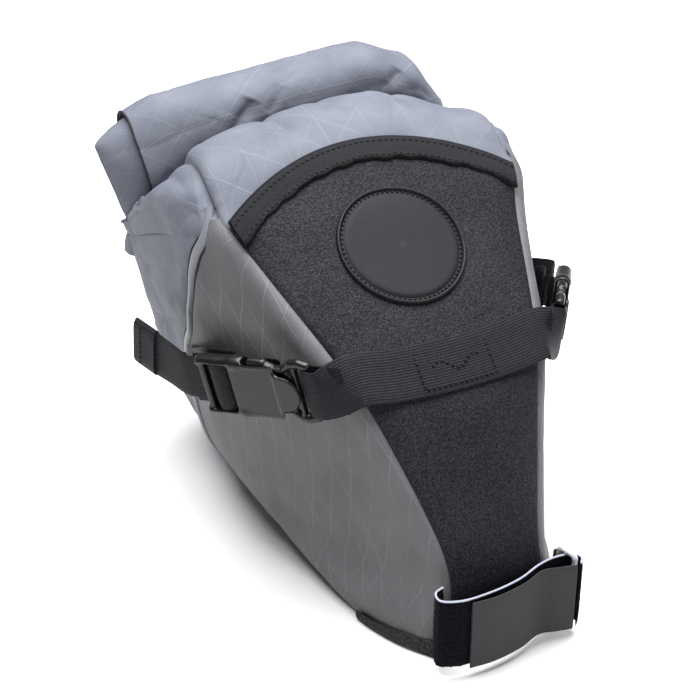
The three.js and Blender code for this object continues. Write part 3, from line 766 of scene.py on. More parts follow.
def add_studio():
    """White paper under the bag, a soft overhead lamp and two weak fill lamps."""
    corners = [[x, y, -FLOOR_DEPTH] for x, y in ((-4000, -3000), (4000, -3000), (4000, 5000), (-4000, 5000))]
    floor = mesh_object("floor", corners, [[0, 1, 2, 3]])
    material, shader = new_material("floor_paper", (0.74, 0.74, 0.74), 0.9, 0.0)
    nodes = Nodes(material)
    nodes.bump(shader, [(nodes.noise(400, 2), 0.1, 0.1)])
    floor.data.materials.append(material)
    world = bpy.data.worlds.new("studio")
    world.use_nodes = True
    world.node_tree.nodes["Background"].inputs["Color"].default_value = (0.97, 0.98, 1, 1)
    world.node_tree.nodes["Background"].inputs["Strength"].default_value = 0.12
    bpy.context.scene.world = world
    add_area("key", (1.05, 0.1, 1.1), (0, 0.06, 0.08), (0.9, 1.1), 6, (0.93, 0.96, 1))
    add_area("top", (0.0, 0.25, 1.5), (0, 0.08, 0.1), (1.5, 1.1), 76)
    add_area("front", (0.1, -1.3, 0.85), (0, 0.06, 0.12), (0.9, 0.6), 8)
    bpy.context.scene.view_settings.view_transform = "Standard"


# ---------------------------------------------------------------- soft panels

WRINKLE = Noise(11)
FINE = Noise(23)


class Crumple:
    """Sharp folds where the cells round scattered points meet, some pressed in and some raised."""

    def __init__(self, seed, count, low, high):
        rng = np.random.default_rng(seed)
        self.at = rng.uniform(low, high, size=(count, 3))
        self.sign = rng.choice([-1.0, -0.5, 0.3], size=(count, count))

    def __call__(self, points, squash, width):
        warped = points + 5 * np.stack([WRINKLE(points + k * 100, 24) for k in range(3)], axis=-1)
        flat = (warped * squash).reshape(-1, 3)
        far = np.linalg.norm(flat[:, None] - (self.at * squash)[None], axis=-1)
        order = np.argpartition(far, 1, axis=1)[:, :2]
        near = np.take_along_axis(far, order, axis=1)
        first, second = np.min(near, axis=1), np.max(near, axis=1)
        sign = self.sign[np.min(order, axis=1), np.max(order, axis=1)]
        ridge = sign * np.exp(-(second - first) / width) * smooth(first / 8)
        return ridge.reshape(points.shape[:-1])


CRUMPLE = Crumple(4, 150, (-110, 60, 0), (110, 220, 215))
SMALL_CRUMPLE = Crumple(9, 420, (-110, 60, 0), (110, 220, 215))


def across_length(points):
    """Distance along each row of a grid of points."""
    steps = np.linalg.norm(np.diff(points, axis=1), axis=-1)
    return np.concatenate([np.zeros((len(points), 1)), np.cumsum(steps, axis=1)], axis=1)


def add_face_panel():
    """Grained face, a little padded, turned down at its edges."""
    rows, cols = 200, 120
    i, j = lattice(rows, cols, -1, 1)
    v = mix(0, arch_top(j) - 0.02, i)
    x = j * (face_half(v) - 0.3)
    edge = (1 - np.abs(j)) * face_half(v)
    rise = rise_of(v)
    base, _ = on_face(x, rise, 0)
    puff = 1.5 * (1 - np.exp(-edge / 1.3)) + 0.9 * smooth(edge / 12)
    lumps = 0.8 * WRINKLE(base, 46) + 0.3 * WRINKLE(base, 17)
    outer, _ = on_face(x, rise, puff - 0.5 + lumps * smooth(edge / 12))
    ob = slab("face_panel_cloth", outer, 2.0)
    finish_piece(ob, FACE, "front_panel")


def arch_rows(offsets, cols):
    """Rows of x and rise on the face, each a set distance in from the arched edge."""
    j = np.linspace(-1, 1, 241)
    v = arch_top(j)
    line = np.stack([j * face_half(v), rise_of(v)], axis=1)
    ahead = unit(np.gradient(line, axis=0))
    line = np.vstack([line[:1] - ahead[:1] * 22, line, line[-1:] + ahead[-1:] * 22])
    ahead = unit(np.gradient(line, axis=0))
    inward = np.stack([ahead[:, 1], -ahead[:, 0]], axis=1)
    rows = []
    for offset in offsets:
        row = evenly(line + inward * offset, 600)
        inside = np.abs(row[:, 0]) <= face_half(v_of(row[:, 1])) - 0.35
        rows.append(evenly(row[inside], cols))
    return np.stack(rows)


def add_binding():
    """Grosgrain tape over the arched edge, with two rows of stitches."""
    cols = 220
    offsets = np.array([14.2, 13.7, 13, 11.8, 9.4, 6.4, 3.8, 2.4, 1.4, 0.5, -0.2])
    chart = arch_rows(offsets, cols)
    t = np.linspace(0, 1, cols)
    wave = 0.55 * np.sin(t * 47) * np.sin(t * 13 + 1) + 0.3 * np.sin(t * 90)
    chart[..., 1] -= wave[None, :] * smooth((offsets[:, None] - 9) / 5)
    profile = np.array([2.3, 3.5, 4.0, 3.75, 3.9, 3.9, 3.75, 4.0, 3.7, 2.8, 1.2])
    outer, normal = on_face(chart[..., 0], chart[..., 1], profile[:, None])
    outer = outer + normal * (0.25 * WRINKLE(outer, 9))[..., None]
    along = across_length(outer)[4]
    uv = np.stack(np.broadcast_arrays(offsets[:, None] / 100, along[None, :] / 100), axis=-1)
    ob = slab("top_binding_tape", outer, 1.1, uv=uv)
    finish_piece(ob, BINDING, "top_binding")
    rows = [(outer[k], normal[k]) for k in (3, 6)]
    stitches = stitch_rows("binding_stitches", rows, 3.1, 1.7, 0.62, 0.25)
    finish_piece(stitches, THREAD)


# Soft folds of the left side panel, mirrored for the right: a line, its width and its depth.
SIDE_FOLDS = [
    ([[-84, 96, 60], [-80, 60, 92], [-70, 36, 108]], 5, 1.6),
    ([[-66, 26, 128], [-74, 46, 136], [-82, 66, 150]], 7, 1.6),
    ([[-60, 60, 12], [-66, 50, 36], [-70, 44, 60]], 6, 1.2),
    ([[-40, -10, 60], [-52, 10, 88]], 6, 1.0),
]


def add_side_panel(side, name):
    """Side of the bag: rounded over its front edge, softly hollow behind it."""
    rows, cols = 160, 96
    i, j = lattice(rows, cols)
    v = mix(0, CORNER + 0.1, i)
    q = mix(1.001, side_seam(v), j ** 1.15)
    base = body(side * q, v)
    normal = body_normal(side * np.maximum(q, 1.006), v)
    front = across_length(base)
    back = front[:, -1:] - front
    rise = 0.9 - 2.6 * np.exp(-front / 1.6) + 1.5 * np.exp(-((front - 8) / 7) ** 2)
    rise = rise - 1.4 * np.exp(-back / 1.8)
    hollow = -2.4 * np.exp(-((front - 30) / 14) ** 2) * smooth((v - 4.1) / 0.8)
    lumps = 2.4 * WRINKLE(base, 70) + 1.3 * WRINKLE(base * [1, 0.6, 1], 30) + 0.4 * FINE(base, 12)
    rise = rise + (hollow + lumps) * smooth(np.minimum(front, back) / 16)
    for line, width, depth in SIDE_FOLDS:
        mirrored = [[-side * x, y, z] for x, y, z in line]
        rise = rise + crease(base, mirrored, width, depth) * smooth(np.minimum(front, back) / 4)
    outer = base + normal * rise[..., None]
    outer[..., 2] = np.maximum(outer[..., 2], 0.05)
    uv = grid_uv(outer)
    if side < 0:
        outer, uv = outer[:, ::-1], uv[:, ::-1]
    ob = slab(name + "_cloth", outer, FABRIC, uv=uv)
    finish_piece(ob, GREY, name)


def add_seam_tape(side, name):
    """Folded seam allowance in the laminate made lighter as a painted highlight on its raised fold, with a
    dark cord of painted shade on either side of it.
    """
    count = 170
    v = np.linspace(0.2, CORNER + 0.3, count)
    seam = side_seam(v)
    centre = body(side * seam, v)
    normal = body_normal(side * seam, v)
    along = unit(np.gradient(centre, axis=0))
    across = unit(np.cross(along, normal)) * side
    cols = 9
    s = np.linspace(-1, 1, cols)
    half = mix(2.2, 2.7, smooth((v - 4) / 2)) * mix(1, 0.6, smooth((v - CORNER) / 0.3))
    bulge = 1.5 * np.clip(1 - np.abs(s) ** 4, 0, 1)
    sideways = (s[None, :] * half[:, None] + 0.4 * WRINKLE(centre, 22)[:, None])[..., None]
    outer = centre[:, None] + across[:, None] * sideways + normal[:, None] * (0.2 + bulge)[None, :, None]
    outer[..., 2] = np.maximum(outer[..., 2], 0.05)
    if np.mean(np.sum(grid_normals(outer) * normal[:, None], axis=-1)) < 0:
        outer = outer[:, ::-1]
    ob = slab(name + "_strip", outer, 0.8)
    finish_piece(ob, SEAM_HIGHLIGHT_LAMINATE, name)
    sewn = v < CORNER + 0.04
    # Each cord is painted shade: a dark line that stands in for the shade in the groove beside the strip.
    for shift, label in ((-3.0, "front"), (3.2, "back")):
        line = (centre - across * shift + normal * 0.35)[sewn]
        line[:, 2] = np.maximum(line[:, 2], 0.6)
        thin = 0.6 * np.clip((count - np.arange(count)) / 12, 0.2, 1)
        cord = tube(f"{name}_{label}_groove", line, thin, 6, count)
        finish_piece(cord, SEAM_SHADE_AND_EDGE_DARK)


# Soft folds of the back panel, on both sides: a line, its width and its depth.
BACK_FOLDS = [
    ([[-88, 120, 146], [-90, 150, 128], [-88, 180, 110]], 4, 2.2),
    ([[-88, 118, 112], [-90, 150, 98], [-86, 186, 84]], 5, 2.0),
    ([[-80, 200, 112], [-60, 212, 96]], 5, 2.4),
    ([[-40, 214, 60], [-10, 214, 90]], 6, 1.8),
]


def laminate_lumps(base, crisp=1.0):
    """Loose laminate: broad swells with folds between them; crisp scales the folds."""
    return (3.0 * WRINKLE(base, 64) + 1.6 * WRINKLE(base * [1, 0.7, 0.7], 27) + 0.5 * FINE(base, 11)
            + crisp * (0.9 * CRUMPLE(base, (1.25, 0.8, 0.8), 5.5)
                       + 0.15 * SMALL_CRUMPLE(base, (1.2, 0.85, 0.85), 3.0)))


def add_back_panel():
    """Rear of the bag between the two side seams."""
    rows, cols = 130, 190
    i, j = lattice(rows, cols)
    v = mix(0, CORNER - 0.02, i)
    start = side_seam(v)
    turn = mix(start, 4 - start, j)
    q = np.where(turn > 2, turn - 4, turn)
    base = body(q, v)
    normal = body_normal(q, v)
    across = across_length(base)
    seams = np.minimum(across, across[:, -1:] - across)
    rise = 0.5 - 1.3 * np.exp(-seams / 1.8) + laminate_lumps(base) * smooth(seams / 10)
    for line, width, depth in BACK_FOLDS:
        for sign in (-1, 1):
            rise = rise + crease(base, [[-sign * x, y, z] for x, y, z in line], width, depth)
    rise = rise - 0.9 * smooth((v - CORNER + 0.08) / 0.06)
    outer = base + normal * rise[..., None]
    outer[..., 2] = np.maximum(outer[..., 2], 0.05)
    ob = slab("back_panel_cloth", outer, FABRIC)
    finish_piece(ob, BLUE_GREY, "back_panel")


def add_bottom_panel():
    """Panel that the bag lies on, with a rounded rim."""
    rows, cols = 24, 120
    t = np.linspace(0, 1, rows)
    turn = np.linspace(-1.98, 1.98, cols)
    rim = body(turn, np.full(cols, 0.02))
    centre = np.array([0, 75, 0])
    s = t[:, None, None] ** 0.7
    outer = centre + (rim[None] - centre) * mix(0.02, 0.985, s)
    outer[..., 2] = 1.9 - 1.5 * smooth((1 - s[..., 0]) / 0.1)
    ob = slab("bottom_panel_cloth", outer, 0.35, sharp=70)
    finish_piece(ob, GREY, "bottom_panel")


# Folds of the collar: pinches under the roll and the drop of the cloth at each corner.
COLLAR_FOLDS = [
    ([[-36, 158, 196], [-28, 132, 199], [-24, 110, 199]], 4.5, 3.4),
    ([[-6, 164, 196], [0, 140, 200], [2, 122, 200]], 5, 1.6),
    ([[30, 166, 194], [38, 140, 199], [46, 112, 199]], 4.5, 2.6),
    ([[58, 160, 188], [62, 128, 192], [74, 100, 188]], 4.5, 3.4),
    ([[-66, 150, 176], [-58, 126, 188], [-48, 108, 193]], 5, 2.6),
    ([[-88, 120, 160], [-86, 108, 172], [-80, 98, 180]], 4, 2.8),
    ([[-84, 170, 128], [-90, 140, 146], [-86, 112, 162]], 5, 3.2),
    ([[84, 100, 168], [88, 130, 160], [88, 160, 140]], 5, 3.0),
    ([[-50, 214, 140], [-46, 210, 156]], 5, 2.6),
    ([[10, 215, 134], [16, 209, 160]], 5, 2.6),
    ([[60, 214, 132], [54, 208, 158]], 5, 2.6),
]


def add_collar():
    """Soft neck of the bag: it swells above the binding, folds in at its corners and dips under the roll."""
    rows, cols = 96, 420
    i, j = lattice(rows, cols, open_end=True)
    q = mix(-2, 2, j)
    turn = np.abs(q)
    start = np.where(turn < 1, arch_top(np.clip(q, -1, 1)), CORNER)
    v = mix(start - mix(0.1, 0.2, smooth((turn - 1.1) / 0.1)), NECK, i)
    base = body(q, v)
    normal = body_normal(q, v)
    up = np.linalg.norm(base - base[:1], axis=-1)
    behind = smooth((turn - 1.1) / 0.08)
    settle = mix(smooth(up / 14), 1, behind)
    rise = 1.0 - 1.6 * np.exp(-up / 2.2)
    crisp = mix(0.35, 1, smooth((turn - 0.95) / 0.1))
    rise = rise + laminate_lumps(base, crisp) * settle * mix(1, 0.6, smooth((i - 0.6) / 0.4))
    swell = np.sin(np.clip(i * 1.2, 0, 1) * math.pi) ** 0.8
    rise = rise + mix(3.0, 1.6, behind) * swell
    for line, width, depth in COLLAR_FOLDS:
        rise = rise + crease(base, line, width, depth)
    rise = rise - mix(8, 5, behind) * smooth((v - mix(7.6, 7.9, behind)) / 0.8)
    gap = np.abs(turn - 1.04) * np.where(turn < 1.04, face_half(np.minimum(v, NECK)), 50)
    rise = rise - 5.5 * np.exp(-(gap / 3.4) ** 1.2) * smooth((v - 5.9) / 0.5) * smooth((9 - v) / 1)
    outer = base + normal * rise[..., None]
    sink = smooth((v - 6.4) / 0.7) * smooth((turn - 1.03) / 0.12) * smooth((1.9 - turn) / 0.3)
    outer[..., 2] -= 6.5 * sink
    shoulder = smooth((outer[..., 0] - 38) / 30) * smooth((v - 6.6) / 1.4)
    outer[..., 2] -= 7 * shoulder
    ob = slab("collar_cloth", outer, FABRIC, loop=True)
    finish_piece(ob, BLUE_GREY, "collar")


def roll_values(x):
    """Height of the roll's middle, half its height and half its depth at x."""
    xs = ROLL_SECTIONS[:, 0]
    out = []
    for k in (1, 2, 3):
        i = np.clip(np.searchsorted(xs, x) - 1, 0, len(xs) - 2)
        t = np.clip((x - xs[i]) / (xs[i + 1] - xs[i]), 0, 1)
        t = 0.4 * smooth(t) + 0.6 * t
        out.append(mix(ROLL_SECTIONS[i, k], ROLL_SECTIONS[i + 1, k], t))
    return out


# Creases of the roll: the recess above its lower edge, the lip beside it, and folds at both ends.
ROLL_FOLDS = [
    ([[-74, 172, 164], [-56, 172, 172], [-38, 172, 180]], 3.2, 3.6),
    ([[-36, 173, 180], [-31, 172, 186], [-25, 173, 193], [-22, 175, 198]], 3.6, 5.0),
    ([[-24, 172, 183], [-12, 171, 186], [-2, 172, 190]], 3.4, 2.6),
    ([[-14, 172, 190], [-9, 172, 196], [-5, 174, 203]], 2.6, 2.6),
    ([[30, 172, 190], [44, 171, 192], [56, 172, 194]], 3.4, 2.6),
    ([[50, 172, 188], [58, 172, 194], [64, 175, 200]], 3.2, 4.0),
    ([[66, 174, 188], [76, 174, 186], [84, 176, 180]], 3.0, 2.4),
    ([[-84, 178, 150], [-76, 174, 160], [-68, 173, 168]], 3.0, 2.0),
    ([[-60, 172, 166], [-54, 172, 173], [-50, 173, 180]], 2.6, 1.8),
    ([[-100, 182, 150], [-95, 177, 158], [-91, 177, 170]], 4, 2.6),
    ([[-90, 177, 146], [-86, 175, 156], [-83, 176, 164]], 3, 3.0),
    ([[-101, 186, 166], [-94, 177, 172], [-86, 176, 176]], 3.5, 1.6),
]


def roll_grid(x0, x1, turns, inset, rows, cols, spiral):
    """A sheet rolled round the closure; turns is its wrap in degrees. Its closed ends slant inward."""
    i, j = lattice(rows, cols)
    i = 0.5 * i + 0.5 * (0.5 - 0.5 * np.cos(i * math.pi))
    x = mix(x0, x1, i)
    z, high, deep = roll_values(x)
    left_end = np.clip((x - ROLL_SECTIONS[0, 0]) / 13, 0, 1)
    right_end = np.clip((ROLL_SECTIONS[-1, 0] + 0.5 - x) / 10, 0, 1)
    closing = np.sqrt(np.clip(1 - (1 - left_end) ** 2, 0.02, 1) * np.clip(1 - (1 - right_end) ** 2, 0.02, 1))
    angle = np.radians(mix(turns[0], turns[1], j))
    depth_in = inset + spiral * j
    cos, sin = np.cos(angle), np.sin(angle)
    round_y = np.sign(cos) * np.abs(cos) ** (2 / 2.3)
    round_z = np.sign(sin) * np.abs(sin) ** (2 / 2.3)
    height = z + (high - depth_in) * mix(1, closing, 0.12) * round_z
    y = ROLL_Y + (deep - depth_in) * closing * round_y
    slant = 14 * smooth((-60 - x) / 43) * np.clip((186 - height) / 56, 0, 1)
    return np.stack([x + slant, y, height], axis=-1)


def wrinkle_roll(grid, amount):
    """The rolled cloth with its creases, leaning back at the top."""
    normal = grid_normals(grid)
    centre = grid.mean(axis=1, keepdims=True)
    if np.mean(np.sum(normal * (grid - centre), axis=-1)) < 0:
        normal = -normal
    pressed = np.minimum(CRUMPLE(grid, (0.6, 1, 1), 4.0), 0)
    rise = amount * (1.6 * WRINKLE(grid * [0.7, 1, 1], 44) + 1.0 * WRINKLE(grid * [0.5, 1, 1], 20)
                     + 0.3 * FINE(grid, 10) + 0.5 * pressed)
    for line, width, depth in ROLL_FOLDS:
        rise = rise + crease(grid, line, width, depth * amount)
    outer = grid + normal * rise[..., None]
    above = outer[..., 2] - roll_values(outer[..., 0])[0]
    outer[..., 1] += ROLL_LEAN * above
    outer[..., 2] -= 2.5
    return outer


def add_roll():
    """The closure: an inner wrap that shows at the left end, an outer wrap and a dark cord along its edge."""
    left, right = ROLL_SECTIONS[0, 0], ROLL_SECTIONS[-1, 0]
    outer = roll_grid(left + 19, right, (-128, 236), 0, 190, 170, 1.6)
    outer = wrinkle_roll(outer, 1.0)
    ob = slab("roll_outer_cloth", outer, FABRIC)
    finish_piece(ob, BLUE_GREY, "roll_outer_wrap", "roll")
    inner = roll_grid(left, right - 5, (-150, 620), 1.9, 150, 230, 7.0)
    inner = wrinkle_roll(inner, 0.7)
    ob = slab("roll_inner_cloth", inner, 0.7)
    finish_piece(ob, BLUE_GREY, "roll_inner_wrap", "roll")
    # A dark cord along the outer wrap's edge, in the same dark as the painted seam shade.
    edge = outer[0] + np.array([-0.3, 0, 0])
    cord = tube("roll_edge_dark_cord", edge, 0.6, 8)
    finish_piece(cord, SEAM_SHADE_AND_EDGE_DARK, body_name="roll")


# ---------------------------------------------------------------- patch


def add_patch():
    """Round rubber patch: a plain disc inside a stitched groove and a raised rim."""
    rings, sides = 26, 128
    middle = rise_of(PATCH_CENTRE)
    r, a = lattice(rings, sides, 0, 2 * math.pi, open_end=True)
    r = r ** 0.8
    inner = PATCH_RADIUS - PATCH_RIM
    x, up = inner * r * np.cos(a), inner * r * np.sin(a)
    lift = 3.5 + 0.2 * (1 - r ** 2) - 0.9 * smooth((r - 0.95) / 0.05)
    outer, _ = on_face(x, middle + up, lift)
    ob = slab("patch_disc", outer[:, ::-1], 1.2, loop=True)
    finish_piece(ob, PATCH, "round_patch")
    s, a = lattice(15, 224, 0, 2 * math.pi, open_end=True)
    radius = mix(inner - 0.2, PATCH_RADIUS, s)
    raised = np.sin(np.clip((s - 0.4) / 0.6, 0, 1) * math.pi) ** 0.6
    profile = 2.5 + 1.6 * raised - 2.0 * smooth((s - 0.92) / 0.08)
    outer, _ = on_face(radius * np.cos(a), middle + radius * np.sin(a), profile)
    ob = slab("patch_rim_ring", outer[:, ::-1], 1.6, loop=True)
    finish_piece(ob, RIM, "patch_rim")
    a = np.linspace(0, 2 * math.pi, 280)
    radius = inner + 0.7
    line, normal = on_face(radius * np.cos(a), middle + radius * np.sin(a), 2.5)
    stitches = stitch_rows("patch_stitches", [(line, normal)], 2.5, 1.8, 0.5, 0.5)
    finish_piece(stitches, THREAD)


# ---------------------------------------------------------------- buckles and webbing


def declare_webbing(route):
    """Measures the length of a strip's route; the length is not used."""
    length = line_length(spline(route, 300))


def webbing(name, route, ups, node, body_name="root", held="stretched", rests_on=(), **shape):
    """A strip of nylon webbing along a route."""
    ob = ribbon(name, route, ups, WEBBING_WIDTH, WEBBING, **shape)
    finish_piece(ob, NYLON, node, body_name)
    declare_webbing(route)


class Buckle:
    """Axes of a side-release buckle: u along it, w across it, n out of the bag."""

    def __init__(self, side):
        mirror = np.array([-side, 1, 1])
        self.side = side
        self.origin = BUCKLE_START * mirror
        end = BUCKLE_END * mirror
        self.scale = np.linalg.norm(end - self.origin) / BUCKLE_LENGTH
        self.along = unit(end - self.origin)
        top = BUCKLE_TOP * mirror
        top = unit(top - (top @ self.along) * self.along)
        out = np.cross(self.along, top)
        self.out = out if out[0] * side > 0 else -out
        self.across = np.cross(self.out, self.along)
        self.name = "left" if side < 0 else "right"

    def world(self, points):
        """Points of the bag from rows of u, w and n."""
        p = np.atleast_2d(np.asarray(points, float))
        return (self.origin + p[:, :1] * self.scale * self.along + p[:, 1:2] * self.across
                + p[:, 2:3] * self.out)


def box_part(low, high, bevel=0.0):
    """A box, with rounded edges if bevel is set."""
    bm = bmesh.new()
    bmesh.ops.create_cube(bm, size=1)
    low, high = Vector(low), Vector(high)
    for vert in bm.verts:
        vert.co = Vector(((low[k] + high[k]) / 2 + vert.co[k] * (high[k] - low[k])) for k in range(3))
    if bevel:
        bmesh.ops.bevel(bm, geom=bm.edges[:], offset=bevel, segments=3, affect="EDGES", profile=0.5)
    return bm


def rod_part(a, b, radius, flat):
    """A rod from a to b with domed ends; flat squeezes it along n."""
    a, b = Vector(a), Vector(b)
    bm = bmesh.new()
    length = (b - a).length
    bmesh.ops.create_uvsphere(bm, u_segments=20, v_segments=12, radius=radius)
    for vert in bm.verts:
        if abs(vert.co.z) > 0.001 * radius:
            vert.co.z += math.copysign(length / 2, vert.co.z)
    turn = (b - a).to_track_quat("Z", "Y").to_matrix().to_4x4()
    bmesh.ops.transform(bm, matrix=Matrix.Translation((a + b) / 2) @ turn, verts=bm.verts)
    middle = (a[2] + b[2]) / 2
    for vert in bm.verts:
        vert.co.z = middle + (vert.co.z - middle) * flat
    return bm


def disc_part(outline, low, high):
    """A flat part with the given outline in u and w, from low to high along n."""
    bm = bmesh.new()
    ring = [bm.verts.new((x, y, low)) for x, y in outline]
    face = bm.faces.new(ring)
    made = bmesh.ops.extrude_face_region(bm, geom=[face])
    for vert in made["geom"]:
        if isinstance(vert, bmesh.types.BMVert):
            vert.co.z = high
    bmesh.ops.recalc_face_normals(bm, faces=bm.faces[:])
    return bm


def temporary(parts):
    """One object that holds every part, until it is moulded."""
    mesh = bpy.data.meshes.new("part")
    joined = bmesh.new()
    for bm in parts:
        piece = bpy.data.meshes.new("piece")
        bm.to_mesh(piece)
        bm.free()
        joined.from_mesh(piece)
        bpy.data.meshes.remove(piece)
    joined.to_mesh(mesh)
    joined.free()
    ob = bpy.data.objects.new("part", mesh)
    bpy.context.scene.collection.objects.link(ob)
    return ob


def remesh(ob, voxel):
    modifier = ob.modifiers.new("remesh", "REMESH")
    modifier.mode = "VOXEL"
    modifier.voxel_size = voxel


def moulded(adds, cuts=(), voxel=0.5):
    """Points and faces of a plastic moulding: parts joined, cut, and softly rounded. Millimetres."""
    base = temporary(adds)
    remesh(base, voxel)
    used = [base]
    if cuts:
        tool = temporary(cuts)
        remesh(tool, voxel)
        cut = base.modifiers.new("cut", "BOOLEAN")
        cut.operation = "DIFFERENCE"
        cut.solver = "EXACT"
        cut.object = tool
        remesh(base, voxel)
        used.append(tool)
    soften = base.modifiers.new("soften", "SMOOTH")
    soften.factor = 0.5
    soften.iterations = 5
    graph = bpy.context.evaluated_depsgraph_get()
    mesh = bpy.data.meshes.new_from_object(base.evaluated_get(graph))
    points = np.empty(len(mesh.vertices) * 3)
    mesh.vertices.foreach_get("co", points)
    faces = [list(p.vertices) for p in mesh.polygons]
    for ob in used:
        bpy.data.objects.remove(ob)
    return points.reshape(-1, 3), faces


def arc(centre, radius, start, end, count):
    """Points on an arc between two angles in degrees."""
    angles = np.radians(np.linspace(start, end, count))
    return [(centre[0] + radius * math.cos(a), centre[1] + radius * math.sin(a)) for a in angles]


def female_shape():
    """Outer half of the buckle: round side rails, a flat plate with a tongue, and the ladder bars."""
    adds = [box_part((18.5, -12.8, -3.9), (62, 12.8, 3.9), 0.8)]
    for w in (-12.7, 12.7):
        adds.append(rod_part((20.5, w, 0), (61, w, 0), 3.2, 1.3))
        adds.append(rod_part((39.5, w, 0), (43, w, 0), 3.7, 1.25))
    tongue = arc((16.5, 0), 9.2, 90, 270, 17)
    tongue = [(20, 10.4)] + tongue + [(20, -10.4)]
    adds.append(disc_part(tongue, 3.0, 4.7))
    back_tongue = [(20, 8.5)] + arc((17.5, 0), 5.5, 90, 270, 11) + [(20, -8.5)]
    adds.append(disc_part(back_tongue, -4.4, -3.2))
    cuts = [box_part((14, -10.8, -2.6), (42.5, 10.8, 2.6))]
    cuts += [box_part((16, w, -3.4), (37, w + 9.8, 3.4), 1.2) for w in (-20, 10.2)]
    slots = ((44.8, 50, -9, 9, 0.8), (53.6, 59.2, -9, 9, 0.8), (49.4, 54.2, 1.7, 9, 0),
             (49.4, 54.2, -9, -1.7, 0), (58.8, 66, 2.6, 9, 0), (58.8, 66, -9, -1.4, 0))
    cuts += [box_part((u0, -12.8, n0), (u1, 12.8, n1), bevel) for u0, u1, n0, n1, bevel in slots]
    return moulded(adds, cuts)


def male_shape():
    """Inner half: a webbing bar, shoulders that arch to the prongs, and a centre guide."""
    adds = [rod_part((2.2, -14, 0), (2.2, 14, 0), 1.6, 0.9)]
    shoulder = ((2.4, 13.6), (6.5, 14.8), (11, 14.2), (15.5, 11.2))
    for w in (-1, 1):
        for (u0, w0), (u1, w1), radius in zip(shoulder, shoulder[1:], (2.2, 2.2, 2.0)):
            adds.append(rod_part((u0, w * w0, 0), (u1, w * w1, 0), radius, 1.1))
        adds.append(rod_part((10.5, w * 5.2, 0), (15, w * 10.4, 0), 1.3, 1.5))
    adds.append(box_part((8.6, -13.5, -1.9), (10.6, 13.5, 1.9), 0.7))
    adds.append(box_part((9.6, -5.6, -2.1), (15, 5.6, 2.1), 0.7))
    adds.append(box_part((12, -2.3, -1.7), (34, 2.3, 1.7), 0.6))
    adds.append(rod_part((33, 0, 0), (34.5, 0, 0), 2.0, 0.8))
    return moulded(adds)


def prong_shape(w):
    """A spring arm with its thumb pad; w is -1 or 1 for its side."""
    adds = [
        rod_part((15.2, w * 11.1, 0), (24, w * 11.3, 0), 1.35, 1.9),
        rod_part((22.5, w * 11.7, 0), (27, w * 13.2, 0), 2.0, 1.35),
        rod_part((26.5, w * 13.3, 0), (32.4, w * 13.6, 0), 2.6, 1.05),
    ]
    return moulded(adds, voxel=0.4)


def place_moulding(name, shape, buckle):
    """A moulding on its buckle; a mirrored buckle turns its faces round."""
    points, faces = shape
    if np.linalg.det(np.stack([buckle.along, buckle.across, buckle.out])) < 0:
        faces = [face[::-1] for face in faces]
    return mesh_object(name, buckle.world(points), faces, None, 180)


def add_buckle(buckle, female, male, prongs):
    """Both halves of a side-release buckle and the two prongs that hold them together."""
    name = buckle.name
    ob = place_moulding(f"{name}_female_half", female, buckle)
    finish_piece(ob, PLASTIC, f"{name}_buckle_female", f"{name}_female")
    ob = place_moulding(f"{name}_male_half", male, buckle)
    finish_piece(ob, PLASTIC, f"{name}_buckle_male")
    up = np.sign(buckle.across[2])
    for w, which in ((up, "upper"), (-up, "lower")):
        ob = place_moulding(f"{name}_{which}_prong_arm", prongs[int(w)], buckle)
        node = f"{name}_prong_{which}"
        finish_piece(ob, PLASTIC, node, node)


# Where each loose tail ends and which way its width runs; the left one stands out from the bag.
TAIL_END = {"left": (-109.8, 97.5, 109.6), "right": (95.5, 152, 79)}
TAIL_UP = {"left": (0.03, -0.08, 0.99), "right": (0, 0.25, 0.97)}


def add_side_webbing(buckle):
    """Webbing laced through the ladder lock, its loose tail, and the webbing sewn into the seam."""
    name, side = buckle.name, buckle.side
    flat = buckle.across
    turned = np.sign(flat[2])
    up = np.array(TAIL_UP[name]) * turned
    lock = [[72, -2.9], [62, -2.8], [58, -2.2], [56.2, 0.6], [54.4, 2.9], [50.4, 2.9], [47.2, 0.6],
            [47, -2.4], [50, -5.2], [58, -5.6], [70, -5.6]]
    route = buckle.world([[u, 0, n] for u, n in lock])
    webbing(f"{name}_laced_webbing", route, [flat] * 2, f"{name}_ladder_webbing", f"{name}_female",
            "folded", [f"{name}_female"], rows=90)
    root = buckle.world([[73.5, 0, -5.6]])[0]
    end = np.array(TAIL_END[name])
    middle = mix(root, end, 0.5) + np.array([side * 1.2, 0, 0])
    tail = [root, buckle.world([[78, 0, -5.7]])[0], middle, end]
    webbing(f"{name}_loose_webbing", tail, [flat, up], f"{name}_tail", f"{name}_tail", "hung")
    ahead = unit(end - middle)
    hem = [end - ahead * 1.5, end + ahead * 6, end + ahead * 14]
    ob = ribbon(f"{name}_folded_end", hem, [up, up], WEBBING_WIDTH + 0.6, 4.4, rows=24)
    finish_piece(ob, NYLON, f"{name}_tail_hem", f"{name}_tail")
    normal = unit(np.cross(ahead, unit(up - (up @ ahead) * ahead)))
    normal = normal * np.sign(normal[0] * side)
    line = np.array([end + ahead * 9 + unit(up) * s + normal * 2.35 for s in np.linspace(-11, 11, 12)])
    ob = stitch_rows(f"{name}_hem_stitches", [(line, np.repeat(normal[None], 12, 0))], 2.6, 1.8, 0.4)
    finish_piece(ob, THREAD, body_name=f"{name}_tail")
    sewn = np.array([side * 89.3, 104.5, 91.3])
    anchor = [sewn, np.array([side * 90, 94, 94.5]), buckle.world([[64, 0, -9.6]])[0],
              buckle.world([[48, 0, -9.2]])[0]]
    sewn_up = np.array(TAIL_UP["right"]) * turned
    webbing(f"{name}_sewn_webbing", anchor, [sewn_up, flat], f"{name}_anchor_webbing")


